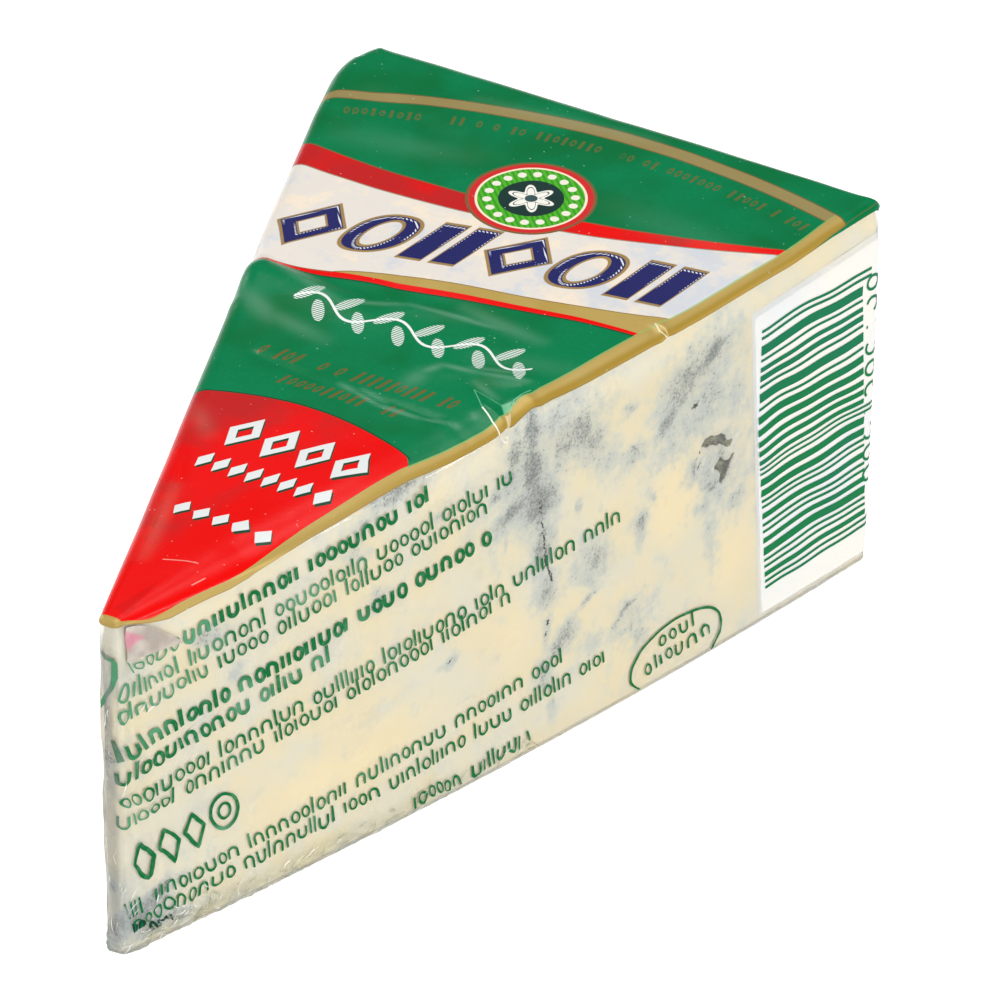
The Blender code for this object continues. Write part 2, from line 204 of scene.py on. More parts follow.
def creaseHeight(x, y, creases):
    height = np.zeros_like(x)
    for start, end, halfWidth, rise in creases:
        t, away = nearLine(x, y, start, end)
        height += rise * np.cos(math.pi / 2 * t) * np.exp(-(away / halfWidth) ** 2)
    return height


def topHeight(x, y):
    height = flatTop(x, y)
    height = height + creaseHeight(x, y, topFilm["creases"]) + creaseHeight(x, y, topFilm["fineCreases"])
    for length, rise, seed in topFilm["waves"]:
        height += rise * (softNoise(x / length, y / length, seed) - 0.5)
    return height


class Loop:  # the plan's outline as stations, and how the film runs over the edge at each of them
    def __init__(self, rows, columns):
        self.rows, self.columns = rows, columns
        found = {}
        for name, shares in (("right", rows), ("left", rows), ("back", columns), ("nose", columns)):
            total = lengthsAlong(sides[name])
            wanted = shares * total[-1]
            edge, hem = np.array(edges[name], float), np.array(hems[name], float)
            found[name] = np.column_stack(
                [np.interp(wanted, total, sides[name][:, k]) for k in range(2)]
                + [np.interp(wanted, edge[:, 0], edge[:, k]) for k in (1, 2)]
                + [np.interp(wanted, hem[:, 0], hem[:, 1])])
        order = [found["right"], found["back"][-2:0:-1], found["left"][::-1], found["nose"][1:-1]]
        values = np.vstack(order)
        self.point, self.inset, self.drop, self.hem = values[:, :2], values[:, 2], values[:, 3], values[:, 4]
        closed = np.vstack([self.point, self.point[:1]])
        total = lengthsAlong(closed)

        def placeAt(distance):
            return np.column_stack([np.interp(distance % total[-1], total, closed[:, k]) for k in range(2)])

        # the outward way is taken over a long stretch, so that the rim doesn't fold at a corner
        reach = np.clip(self.point[:, 1] / 10, 0.3, 3.0)
        way = placeAt(total[:-1] + reach) - placeAt(total[:-1] - reach)
        self.outward = np.column_stack([way[:, 1], -way[:, 0]]) / np.linalg.norm(way, axis=1)[:, None]
        self.rim = self.point - self.outward * self.inset[:, None]
        self.arc = math.pi / 2 * np.sqrt((self.inset ** 2 + self.drop ** 2) / 2)
        self.top = topHeight(self.rim[:, 0], self.rim[:, 1])
        self.foot = cut["foot"]
        last, wide = len(rows) - 1, len(columns) - 1
        count = len(values)
        self.corner = {"right": np.arange(0, last + 1), "back": np.arange(last + wide, last - 1, -1),
                       "left": np.arange(2 * last + wide, last + wide - 1, -1),
                       "nose": np.append(np.arange(2 * last + wide, count), 0)}

    def over(self, way, lift):  # down over the edge by way, outward from the cheese by lift
        angle = np.maximum(math.pi / 2 * (1 - way / self.arc), 0)
        below = np.maximum(way - self.arc, 0)
        flat = self.point + self.outward * (lift * np.cos(angle) - self.inset * (1 - np.cos(angle)))[:, None]
        height = self.top - self.drop * (1 - np.sin(angle)) - below + lift * np.sin(angle)
        return np.column_stack([flat, height])

    def wall(self, share, fromHeight, lift):  # between a height near the top and the start of the foot
        height = fromHeight * (1 - share) + (self.foot + cut["footRise"]) * share
        return np.column_stack([self.point + self.outward * lift[:, None], height])

    def under(self, angle, lift, rise):
        flat = self.point + self.outward * (lift - self.foot * (1 - math.cos(angle)))[:, None]
        return np.column_stack([flat, np.full(len(flat), rise + self.foot * (1 - math.sin(angle)))])

    def fill(self, values):  # grid between the four sides, whose lines run both ways
        right, back = values[self.corner["right"]], values[self.corner["back"]]
        left, nose = values[self.corner["left"]], values[self.corner["nose"]]
        v, u = self.rows[:, None, None], self.columns[None, :, None]
        across = left[:, None] * (1 - u) + right[:, None] * u
        along = nose[None] * (1 - v) + back[None] * v
        front = left[0] * (1 - u) + right[0] * u
        rear = left[-1] * (1 - u) + right[-1] * u
        return across + along - front * (1 - v) - rear * v

    def rimOfGrid(self, index):  # the grid's outer vertices, in the loop's order
        return np.concatenate([index[:, -1], index[-1, -2:0:-1], index[::-1, 0], index[0, 1:-1]])


class Wall:  # a cut side and the nose laid out flat: distance from the cut's point, and height
    def __init__(self, name):
        overNose = sides["nose"] if name == "right" else sides["nose"][::-1]
        points = np.vstack([overNose[:-1], sides[name]])
        along = lengthsAlong(points)
        self.settleOn(name, points, along + sides[name][0] @ alongCut[name] - along[len(overNose) - 1])

    def settleOn(self, name, points, along):
        way = np.gradient(points, axis=0)
        steady = np.linalg.norm(way, axis=1) > 1e-6
        self.name, self.points, self.along, way = name, points[steady], along[steady], way[steady]
        outward = np.column_stack([way[:, 1], -way[:, 0]]) * (-1 if name == "left" else 1)
        self.outward = outward / np.linalg.norm(outward, axis=1)[:, None]

    def loose(self, along, height):  # how far the film stands off
        return ripple(self.name, along, height)

    def at(self, along, height, lift):
        point = np.column_stack([np.interp(along, self.along, self.points[:, k]) for k in range(2)])
        outward = np.column_stack([np.interp(along, self.along, self.outward[:, k]) for k in range(2)])
        flat = point + outward * (lift + self.loose(along, height))[:, None]
        return np.column_stack([flat, height])


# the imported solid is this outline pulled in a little, and that places it in the frame
bodyLift = -0.4
cheeseLift = -0.1
placing = Loop(np.linspace(0, 1, 200), np.linspace(0, 1, 60))
drawn = placing.point + placing.outward * bodyLift
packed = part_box("cheese_wedge")
middle = np.array([(packed[0][k] + packed[1][k]) / 2 / mm for k in range(2)])
shift = np.append(middle - (drawn.min(axis=0) + drawn.max(axis=0)) / 2, 0.0)
print("wedge placed by", np.round(shift, 3).tolist(), "mm")


def gridFaces(index, flip=False):
    faces = np.stack([index[:-1, :-1], index[:-1, 1:], index[1:, 1:], index[1:, :-1]], axis=-1).reshape(-1, 4)
    return (faces[:, ::-1] if flip else faces).tolist()


def ringFaces(index):  # between closed levels, from the top down
    return gridFaces(np.hstack([index, index[:, :1]]), flip=True)


def loftFaces(levels, openTop=True):
    index = np.arange(levels[0].shape[0] * len(levels)).reshape(len(levels), -1)
    faces = ringFaces(index) + [index[-1][::-1].tolist()]
    return faces if openTop else faces + [index[0].tolist()]


def drawnIn(level):  # the same loop a little smaller, for an even middle
    return level + (level.mean(axis=0) - level) * 0.07


def makePiece(name, points, faces, finish, fields=None):
    mesh = bpy.data.meshes.new(name)
    mesh.from_pydata(((points + shift) * mm).tolist(), [], faces)
    for field, values in (fields or {}).items():
        kind = "FLOAT_VECTOR" if values.ndim == 2 else "FLOAT"
        held = mesh.attributes.new(field, kind, "POINT")
        held.data.foreach_set("vector" if values.ndim == 2 else "value", values.astype(np.float32).ravel())
    mesh.materials.append(finish)
    mesh.shade_smooth()
    piece = bpy.data.objects.new(name, mesh)
    bpy.context.scene.collection.objects.link(piece)
    return piece


def settle(piece, node):
    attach(piece, "root")
    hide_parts(node)
    print(piece.name, "made,", len(piece.data.polygons), "faces")


def ink(red, green, blue):  # a colour as a picture shows it, in the renderer's own scale
    def straight(value):
        value /= 255
        return value / 12.92 if value <= 0.04045 else ((value + 0.055) / 1.055) ** 2.4
    return straight(red), straight(green), straight(blue), 1.0


class Wire:  # one socket of a material's nodes, for use in plain expressions
    def __init__(self, finish, socket):
        self.finish = finish
        self.socket = socket

    def __add__(self, other):
        return self.finish.math("ADD", self, other)

    def __radd__(self, other):
        return self.finish.math("ADD", other, self)

    def __sub__(self, other):
        return self.finish.math("SUBTRACT", self, other)

    def __rsub__(self, other):
        return self.finish.math("SUBTRACT", other, self)

    def __mul__(self, other):
        return self.finish.math("MULTIPLY", self, other)

    def __rmul__(self, other):
        return self.finish.math("MULTIPLY", other, self)

    def __truediv__(self, other):
        return self.finish.math("DIVIDE", self, other)

    def __rtruediv__(self, other):
        return self.finish.math("DIVIDE", other, self)

    def __getitem__(self, axis):
        return self.finish.node("ShaderNodeSeparateXYZ", {}, {0: self}, axis)


class Finish:  # a material: a Principled shader, and what is worked out for it
    def __init__(self, name, **fixed):
        self.material = bpy.data.materials.new(name)
        self.material.use_nodes = True
        self.nodes = self.material.node_tree.nodes
        self.links = self.material.node_tree.links
        self.shader = self.nodes["Principled BSDF"]
        for socket, value in fixed.items():
            self.feed(self.shader.inputs[socket.replace("_", " ")], value)

    def feed(self, socket, value):
        if isinstance(value, Wire):
            self.links.new(value.socket, socket)
        else:
            socket.default_value = value

    def node(self, kind, settings, sockets, output=0):
        made = self.nodes.new(kind)
        for setting, value in settings.items():
            setattr(made, setting, value)
        for socket, value in sockets.items():
            self.feed(made.inputs[socket], value)
        return Wire(self, made.outputs[output])

    def math(self, operation, first, second):
        return self.node("ShaderNodeMath", {"operation": operation}, {0: first, 1: second})

    def least(self, first, second):
        return self.math("MINIMUM", first, second)

    def most(self, first, second):
        return self.math("MAXIMUM", first, second)

    def size(self, value):
        return self.math("ABSOLUTE", value, 0.0)

    def steep(self, value, low, high):  # 0 below low, 1 above high
        return self.node("ShaderNodeMapRange", {"interpolation_type": "SMOOTHSTEP"},
                         {"Value": value, "From Min": low, "From Max": high})

    def past(self, value, blur=0.06):  # 1 above 0, with a soft edge
        return self.steep(value, -blur / 2, blur / 2)

    def inside(self, value, low, high, blur=0.06):  # 1 between two values, which may be worked out
        return self.past(value - low, blur) * self.past(high - value, blur)

    def mix(self, share, first, second):
        return self.node("ShaderNodeMix", {"data_type": "RGBA"}, {0: share, 6: first, 7: second}, 2)

    def mixed(self, share, first, second):  # the same for plain numbers
        return self.node("ShaderNodeMix", {"data_type": "FLOAT"}, {0: share, 2: first, 3: second}, 0)

    def field(self, name, output=1):  # a named value of the mesh: 1 as a vector, 2 as a number
        return self.node("ShaderNodeAttribute", {"attribute_name": name}, {}, output)

    def place(self):
        return self.node("ShaderNodeTexCoord", {}, {}, 3)

    def noise(self, place, scale, detail=2.0, roughness=0.5):
        return self.node("ShaderNodeTexNoise", {}, {"Vector": place, "Scale": scale, "Detail": detail,
                                                    "Roughness": roughness})

    def chance(self, value):  # a number from 0 to 1 for each whole value
        return self.node("ShaderNodeTexWhiteNoise", {"noise_dimensions": "1D"}, {"W": value})

    def vector(self, operation, first, second, third=(0, 0, 0), output=0):
        sockets = {0: first, 1: second, 2: third}
        return self.node("ShaderNodeVectorMath", {"operation": operation}, sockets, output)

    def dot(self, first, second):
        return self.vector("DOT_PRODUCT", first, second, output=1)

    def awayFrom(self, place, start, end):  # distance from a straight line between two places
        start, way = Vector((*start, 0)), Vector((*end, 0)) - Vector((*start, 0))
        perLength = way / way.length_squared
        share = self.node("ShaderNodeMath", {"operation": "SUBTRACT", "use_clamp": True},
                          {0: self.dot(place, perLength), 1: start.dot(perLength)})
        nearest = self.vector("MULTIPLY_ADD", share, way, start)
        return self.vector("DISTANCE", place, nearest, output=1)

    def bump(self, height, strength, distance):
        return self.node("ShaderNodeBump", {}, {"Height": height, "Strength": strength, "Distance": distance})

    def paint(self, **sockets):
        for socket, value in sockets.items():
            self.feed(self.shader.inputs[socket.replace("_", " ")], value)

    def clear(self, share):  # see-through where share is 0
        glass = self.node("ShaderNodeBsdfTransparent", {}, {})
        solid = Wire(self, self.shader.outputs[0])
        mixed = self.node("ShaderNodeMixShader", {}, {0: share, 1: glass, 2: solid})
        self.links.new(mixed.socket, self.nodes["Material Output"].inputs["Surface"])


def curve(x, coefficients):  # a polynomial of x, lowest power first
    value = coefficients[-1]
    for coefficient in reversed(coefficients[:-1]):
        value = value * x + coefficient
    return value


# the printed film: inks, with painted highlights, sheen and shade among them, then boundaries as polynomials
# of x, in mm of the unfolded film
printing = {
    "lift": 0.12,
    "hemRows": 10,
    "noise": {"broad": 120.0, "marbling": 260.0, "fine": 900.0, "grain": 2600.0, "dust": 3000.0},
    "green": ink(2, 122, 74),
    "deepGreen": ink(0, 108, 56),
    "sheenGreen": ink(34, 136, 96),
    "red": ink(230, 8, 6),
    # painted shade for the red on the flat part of the tip
    "dullRed": ink(190, 34, 34),
    "gold": ink(184, 157, 88),
    "deepGold": ink(172, 141, 58),
    "arcShade": ink(126, 120, 88),
    "brown": ink(122, 92, 58),
    "white": ink(226, 219, 210),
    "blueWhite": ink(208, 211, 216),
    "creamWhite": ink(238, 224, 204),
    "navy": ink(38, 40, 98),
    # painted highlight for thin crease lines
    "glint": ink(238, 240, 222),
    # painted shade and painted highlight for facets of the red tip
    "darkRed": ink(150, 12, 16),
    "brightRed": ink(246, 60, 50),
    "darkMark": ink(104, 100, 52),
    "shadow": ink(16, 66, 44),
    # painted highlights for crease lines and facets on the green and the gold
    "paleGreen": ink(122, 194, 152),
    "creamGold": ink(236, 208, 152),
    "redBandTop": (73.68, 0.086, 0.0052),
    "redBandFoot": (71.32, 0.137, 0.0057),
    "redLineTop": (58.55, 0.189, 0.0, -0.0002),
    "redLineFoot": (57.77, 0.190, 0.0009, -0.0002),
    "goldSweep": (59.97, 0.221, -0.0065, 0.0003),
    "tip": (37.27, -0.023, -0.02),
    "arcOutside": (4.68, 17.76, 71.6),
    "arcInside": (4.61, 14.75, 73.1),
    "borderWidth": 1.25,
    "outline": 0.13,
    "shadowWidth": 0.16,
    "tipEnd": 11.1,  # the tip's red is rounded off at its right end
    "tipRounding": 0.11,
    "tipRoundingFrom": 31.7,
    "goldNose": 3.6,
    "badge": {
        "circle": (0.2, 75.6, 5.9),  # centre and reach
        "core": 2.99, "eye": 0.59, "petals": 6.0, "petal": 1.75, "petalSwing": 0.55,
        "dots": 18, "dotsAway": 4.0, "dotStretch": 1.45, "hatch": 9.0,
        "line": ink(80, 178, 40), "green": ink(24, 118, 40), "dot": ink(236, 232, 214),
        "dark": ink(30, 56, 52), "rosette": ink(240, 238, 228), "rosetteLine": ink(60, 84, 86),
        "rim": ink(250, 228, 202), "ring": ink(206, 44, 46), "brown": ink(122, 92, 58),
    },
    # rows start at a place and run one way; a mark stands in each pitch and leans
    "frieze": {
        "start": (-19.0, 58.15), "way": (0.9766, 0.2150), "lean": 0.42, "pitch": 6.45, "length": 38.7,
        "height": 7.0, "sag": (0.0, 0.035, -0.0016),
        # half widths and half heights
        "lozenge": (3.25, 3.9), "ring": (3.0, 3.5), "bar": (1.22, 3.45), "barAside": 1.55,
        "ringPower": 2.3, "ringRoot": 0.44, "lozengeHole": 0.35, "ringHole": (1.15, 3.7), "noHole": 3.0,
        "stitches": 17.0,
    },
    "friezeEdge": ink(156, 128, 80),
    "friezeStitch": ink(225, 228, 232),
    "dullRows": (
        {"start": (-9.6, 42.6), "way": (1.0, 0.004), "lean": 0.3, "pitch": 0.86, "length": 19.8,
         "height": 1.7},
        {"start": (-5.6, 39.4), "way": (1.0, 0.012), "lean": 0.3, "pitch": 0.86, "length": 12.6,
         "height": 1.5},
    ),
    "dullBrown": ink(116, 90, 42),
    "arcPitch": 0.86,
    "arcRowIn": 2.1,
    "silverRows": (
        {"start": (-6.2, 29.2), "way": (0.995, -0.02), "lean": 0.22, "pitch": 3.5, "length": 14.0,
         "height": 4.9, "wide": 1.45, "solid": 0.46},
        {"start": (-5.9, 25.3), "way": (1.0, 0.0), "lean": 0.22, "pitch": 1.62, "length": 13.0,
         "height": 2.5, "wide": 0.62, "solid": 0.0},
        {"start": (-4.1, 18.6), "way": (1.0, -0.01), "lean": 0.22, "pitch": 1.9, "length": 9.5,
         "height": 2.1, "wide": 0.72, "solid": 0.0},
    ),
    "silver": ink(224, 228, 226),
    "stem": {
        "start": -10.6, "end": 13.4, "height": 51.6, "halfWidth": 0.16, "turns": 0.78, "swing": 1.15,
        "leafPitch": 2.014, "leafLean": 0.5, "leaf": (0.55, 2.4), "hatch": 26.0, "white": ink(236, 240, 236),
    },
    "innerLine": ink(146, 184, 108),
    "dust": ink(200, 226, 214),
    "sheenGrey": ink(138, 184, 160),
    # thin painted highlights along sharp creases
    "sharpCreases": (  # start, end, half width, strength, colour
        ((10.6, 46.1), (12.5, 44.0), 0.06, 0.7, "paleGreen"), ((12.5, 44.0), (13.7, 43.2), 0.1, 1.0, "glint"),
        ((13.7, 43.2), (15.4, 42.6), 0.09, 1.0, "glint"), ((15.4, 42.6), (16.3, 42.8), 0.07, 0.9, "glint"),
        ((10.6, 46.1), (13.5, 45.4), 0.07, 0.45, "paleGreen"),
        ((14.9, 48.4), (14.25, 46.5), 0.07, 0.8, "paleGreen"),
        ((14.25, 46.5), (14.4, 45.2), 0.07, 0.8, "paleGreen"),
        ((14.5, 45.0), (15.8, 43.2), 0.06, 0.7, "glint"),
        ((-0.4, 12.4), (2.2, 13.4), 0.08, 0.35, "glint"), ((3.0, 11.0), (3.4, 12.4), 0.07, 0.35, "glint"),
        ((19.5, 62.8), (20.1, 62.35), 0.07, 0.7, "glint"), ((20.1, 62.35), (21.4, 62.5), 0.07, 0.7, "glint"),
    ),
    # facets painted lighter or darker: painted highlights, and painted shade in the red tip's creases
    "facets": (  # corners, colour, strength
        (((13.5, 45.4), (14.2, 44.4), (14.4, 45.1), (14.2, 46.4)), "paleGreen", 0.85),
        (((14.2, 44.4), (15.8, 43.2), (14.5, 44.9)), "creamGold", 0.95),
        (((19.5, 62.8), (21.4, 62.5), (20.4, 63.05)), "creamGold", 0.8),
        (((-0.6, 4.6), (1.0, 4.4), (0.9, 10.0)), "darkRed", 0.2),
        (((0.3, 9.0), (1.3, 11.4), (5.6, 22.4)), "darkRed", 0.22),
        (((-5.4, 30.6), (-2.2, 15.6), (-4.3, 24.0)), "brightRed", 0.45),
    ),
    "sheens": (  # soft pale streaks: start, end, half width, strength
        ((-0.3, 41.8), (1.6, 41.3), 0.3, 0.4), ((1.6, 41.3), (4.2, 40.5), 0.22, 0.55),
        ((4.2, 40.5), (8.3, 40.5), 0.25, 0.55), ((8.3, 40.5), (11.5, 41.1), 0.22, 0.35),
        ((1.8, 42.0), (4.6, 41.2), 0.25, 0.35), ((5.0, 44.4), (5.2, 46.6), 0.9, 0.28),
        ((5.2, 46.6), (6.2, 48.3), 0.5, 0.38), ((6.0, 48.4), (9.6, 48.6), 0.35, 0.45),
        ((9.6, 48.6), (14.2, 49.4), 0.3, 0.4), ((8.6, 49.2), (13.0, 50.2), 0.35, 0.3),
        ((10.0, 47.3), (12.8, 46.0), 0.4, 0.32), ((-6.9, 52.4), (-1.0, 55.2), 0.3, 0.3),
        ((-1.0, 55.3), (9.1, 56.0), 0.3, 0.4), ((3.6, 57.2), (12.0, 55.6), 0.8, 0.25),
        ((-15.3, 50.6), (-10.6, 47.8), 1.0, 0.3), ((-12.0, 48.6), (-5.0, 47.1), 0.9, 0.22),
        ((-14.6, 55.4), (-7.0, 52.6), 0.6, 0.3), ((-20.0, 77.0), (-8.0, 79.0), 1.6, 0.1),
        ((-12.0, 88.0), (6.0, 89.4), 0.8, 0.14), ((8.0, 51.0), (17.0, 53.0), 1.2, 0.1),
        ((-9.6, 33.0), (-6.6, 30.0), 0.9, 0.12), ((-5.0, 22.0), (-2.0, 12.0), 0.7, 0.12),
        ((8.0, 78.0), (22.0, 76.0), 2.0, 0.08),
    ),
}


def fromCentre(film, x, y, circle):  # the way from a circle's centre, and how far
    offX, offY = x - circle[0], y - circle[1]
    return offX, offY, film.math("SQRT", offX * offX + offY * offY, 0.0)


def edgeOf(film, value):  # the thin line that goes along a boundary
    return film.inside(value, 0.0, printing["outline"])


# the inks' random unevenness, with painted sheen on the green and painted shade on the red tip's flat part
def unevenInksAndPaintedLight(film, x, fromRight, along, broad):
    spec, spot = printing, film.place()
    grain = film.noise(spot, spec["noise"]["grain"], 2.0, 0.7)
    marbling = film.noise(spot, spec["noise"]["marbling"], 4.0, 0.6)
    green = film.mix(film.steep(broad, 0.38, 0.7), spec["green"], spec["deepGreen"])
    # painted sheen: pale green specks where the film's grain catches the light
    sheenSpecks = film.steep(grain, 0.5, 0.8) * film.steep(broad, 0.6, 0.42)
    green = film.mix(sheenSpecks * 0.35, green, spec["sheenGreen"])
    # painted shade: away from the rounded right edge the red is darker and greyer, as if less lit and veiled
    # by reflection, in patches
    shadedFlatPart = film.steep(fromRight + (broad - 0.5) * 7.0, 6.5, 9.0)
    red = film.mix(shadedFlatPart * film.steep(broad, 0.62, 0.38), spec["red"], spec["dullRed"])
    lower = film.steep(fromRight, 0.9, 0.45) * film.steep(along, 20.0, 50.0)
    gold = film.mix(film.most(lower, film.steep(broad, 0.5, 0.7) * 0.5), spec["gold"], spec["deepGold"])
    white = film.mix(film.steep(marbling + (x - 2.0) * 0.004, 0.52, 0.66), spec["white"], spec["blueWhite"])
    white = film.mix(film.steep(marbling, 0.47, 0.34), white, spec["creamWhite"])
    return green, red, gold, white


def bandsOver(film, x, y, green, red, gold, white):  # bands across the film, and the red tip
    spec = printing
    lineTop, lineFoot = curve(x, spec["redLineTop"]), curve(x, spec["redLineFoot"])
    sweep = film.most(curve(x, spec["goldSweep"]), lineTop)
    bandTop, bandFoot = curve(x, spec["redBandTop"]), curve(x, spec["redBandFoot"])
    tip = curve(x, spec["tip"])
    aboveEnd = film.most(y - spec["tipRoundingFrom"], 0.0)
    tipEnd = spec["tipEnd"] - aboveEnd * aboveEnd * spec["tipRounding"]
    inTip = film.past(tip - y) * film.past(tipEnd - x)
    colour = film.mix(film.inside(y, lineFoot, lineTop), green, spec["red"])
    colour = film.mix(film.inside(y, lineTop, sweep), colour, gold)
    colour = film.mix(film.inside(y, sweep, bandFoot), colour, white)
    colour = film.mix(film.inside(y, bandFoot, bandTop), colour, red)
    colour = film.mix(inTip, colour, red)
    colour = film.mix(edgeOf(film, y - bandTop), colour, spec["brown"])
    colour = film.mix(edgeOf(film, bandFoot - y) * 0.8, colour, spec["brown"])
    colour = film.mix(edgeOf(film, sweep - y) * 0.7, colour, spec["brown"])
    underTip = film.inside(y - tip, 0.0, spec["shadowWidth"]) * film.steep(x, 10.4, 10.0)
    colour = film.mix(underTip, colour, spec["shadow"])
    return film.mix(film.inside(lineFoot - y, 0.0, spec["shadowWidth"]), colour, spec["shadow"])


def badgeOver(film, x, y, colour):  # rings, a ring of dots, and a plain rosette
    spec = printing["badge"]
    reach = spec["circle"][2]
    offX, offY, away = fromCentre(film, x, y, spec["circle"])
    turn = film.math("ARCTAN2", offY, offX)
    hatch = film.math("SINE", (offX + offY) * spec["hatch"], 0.0)
    badge = film.mix(film.steep(hatch, -0.2, 0.6) * 0.55, spec["line"], spec["green"])
    dotTurn = turn * (spec["dots"] / (2 * math.pi))
    dotAcross = film.size(dotTurn - film.math("FLOOR", dotTurn, 0.0) - 0.5) * spec["dotStretch"]
    dotUp = away - spec["dotsAway"]
    dotAway = film.math("SQRT", dotAcross * dotAcross + dotUp * dotUp, 0.0)
    pastPetal = away - (spec["petal"] + film.math("COSINE", turn * spec["petals"], 0.0) * spec["petalSwing"])
    for share, tint in (
        (film.steep(dotAway, 0.46, 0.38), "dot"), (film.past(spec["core"] - away), "dark"),
        (film.steep(pastPetal, 0.05, -0.05), "rosette"),
        (film.steep(film.size(pastPetal + 0.45), 0.1, 0.04), "rosetteLine"),
        (film.past(spec["eye"] - away), "rosetteLine"),
        (film.inside(away, reach - 1.02, reach - 0.78), "rim"),
        (film.inside(away, reach - 0.78, reach - 0.2), "ring"),
        (film.inside(away, reach - 0.2, reach + 0.1), "brown"),
    ):
        badge = film.mix(share, badge, spec[tint])
    return film.mix(film.past(reach + 0.07 - away), colour, badge)


# in a slanted row: distances from the middle of the nearest mark, its number, 1 in the row, and height
def rowPlaces(film, x, y, row):
    startX, startY = row["start"]
    wayX, wayY = row["way"]
    along = (x - startX) * wayX + (y - startY) * wayY
    up = (y - startY) * wayX - (x - startX) * wayY
    up = up - curve(along, row.get("sag", (0.0,)))
    leaned = along - up * row["lean"]
    cell = leaned / row["pitch"]
    number = film.math("FLOOR", cell, 0.0)
    across = film.size(cell - number - 0.5) * row["pitch"]
    rise = film.size(up - row["height"] / 2)
    return across, rise, number, film.inside(leaned, 0.0, row["length"]), up


def friezeOver(film, x, y, colour, white):  # a lozenge, a ring and a pair of bars by turns
    spec = printing
    row = spec["frieze"]
    across, rise, number, inRow, up = rowPlaces(film, x, y, row)
    turnOf = film.math("FLOORED_MODULO", number, 3.0)
    isRing, isBars = film.inside(turnOf, 0.5, 1.5), film.inside(turnOf, 1.5, 2.5)
    lozenge = across / row["lozenge"][0] + rise / row["lozenge"][1]
    widthPart = film.math("POWER", across / row["ring"][0], row["ringPower"])
    heightPart = film.math("POWER", rise / row["ring"][1], row["ringPower"])
    ring = film.math("POWER", widthPart + heightPart, row["ringRoot"])
    bar = film.most(film.size(across - row["barAside"]) / row["bar"][0], rise / row["bar"][1])
    form = film.mixed(isBars, film.mixed(isRing, lozenge, ring), bar)
    ringHole = across * across / row["ringHole"][0] + rise * rise / row["ringHole"][1]
    ringHole = film.math("SQRT", ringHole, 0.0)
    hole = film.mixed(isRing, lozenge / row["lozengeHole"], ringHole)
    hole = film.mixed(isBars, hole, row["noHole"])
    stripes = film.steep(film.math("SINE", (up + across) * row["stitches"], 0.0), -0.3, 0.3) * inRow
    upper = film.steep(up, 2.6, 3.4)
    colour = film.mix(film.inside(form, -1.0, 1.0, 0.03) * inRow, colour, spec["friezeEdge"])
    colour = film.mix(film.inside(form, -1.0, 0.9, 0.03) * inRow, colour, spec["navy"])
    colour = film.mix(film.inside(form, 0.80, 0.86, 0.02) * stripes * upper, colour, spec["friezeStitch"])
    colour = film.mix(film.inside(hole, -1.0, 1.34, 0.05) * inRow, colour, spec["friezeEdge"])
    colour = film.mix(film.inside(hole, -1.0, 1.14, 0.05) * inRow, colour, white)
    return film.mix(film.inside(hole, 1.42, 1.56, 0.05) * stripes * (1 - upper), colour, spec["friezeStitch"])


def smallMark(film, across, rise, number, tall):  # a ring, a tick or nothing, by chance
    ringAway = film.math("SQRT", across * across * 12.0 + rise * rise / (tall * tall), 0.0)
    ring = film.inside(ringAway, 0.5, 1.0, 0.2)
    tick = film.steep(across, 0.2, 0.13) * film.steep(rise - tall * 1.25, 0.05, -0.05)
    asRing = film.steep(film.chance(number + 0.5), 0.5, 0.52)
    kept = film.steep(film.chance(number), 0.16, 0.17)
    return film.mixed(asRing, tick, ring) * kept


def dullRowsOver(film, x, y, colour):  # on the green, and along the arc
    spec = printing
    for row in spec["dullRows"]:
        across, rise, number, inRow, _ = rowPlaces(film, x, y, row)
        mark = smallMark(film, across, rise, number + row["length"], row["height"] * 0.42)
        colour = film.mix(mark * inRow * 0.85, colour, spec["dullBrown"])
    reach = spec["arcInside"][2]
    arcX, arcY, away = fromCentre(film, x, y, spec["arcInside"])
    turn = film.math("ARCTAN2", arcX, arcY) * (reach / spec["arcPitch"])
    number = film.math("FLOOR", turn, 0.0)
    across = film.size(turn - number - 0.5) * spec["arcPitch"]
    mark = smallMark(film, across, film.size(away - reach + spec["arcRowIn"]), number, 0.55)
    return film.mix(mark * film.inside(x, -23.0, 24.5) * 0.8, colour, spec["darkMark"])


def silverRowsOver(film, x, y, colour):  # lozenges on the red tip, each with a dark shadow
    spec = printing
    for row in spec["silverRows"]:
        for offset, tint in ((0.22, spec["shadow"]), (0.0, spec["silver"])):
            across, rise, _, inRow, _ = rowPlaces(film, x - offset, y + offset, row)
            form = across / row["wide"] + rise / (row["height"] / 2)
            colour = film.mix(film.inside(form, row["solid"], 1.0, 0.05) * inRow, colour, tint)
    return colour


def stemOver(film, x, y, colour):  # a white twining stem with hatched leaves on the green
    spec = printing["stem"]
    stemX, stemY = x - spec["start"], y - spec["height"]
    winding = film.math("SINE", stemX * spec["turns"], 0.0) * spec["swing"]
    stem = film.steep(film.size(stemY - winding) - spec["halfWidth"], 0.04, -0.04)
    cell = stemX / spec["leafPitch"]
    number = film.math("FLOOR", cell, 0.0)
    leafX = (cell - number - 0.5) * spec["leafPitch"]
    leafY = stemY * (1 - 2 * film.math("FLOORED_MODULO", number, 2.0)) - 1.0  # above and below by turns
    slanted = leafX - leafY * spec["leafLean"]
    leaf = slanted * slanted / spec["leaf"][0] + leafY * leafY / spec["leaf"][1]
    inLeaf = film.steep(film.math("SQRT", leaf, 0.0), 0.92, 0.84)
    hatch = film.steep(film.math("SINE", y * spec["hatch"], 0.0), -0.6, 0.4)
    inStem = film.inside(x, spec["start"], spec["end"])
    colour = film.mix(inLeaf * inStem * hatch, colour, spec["white"])
    return film.mix(stem * inStem, colour, spec["white"])


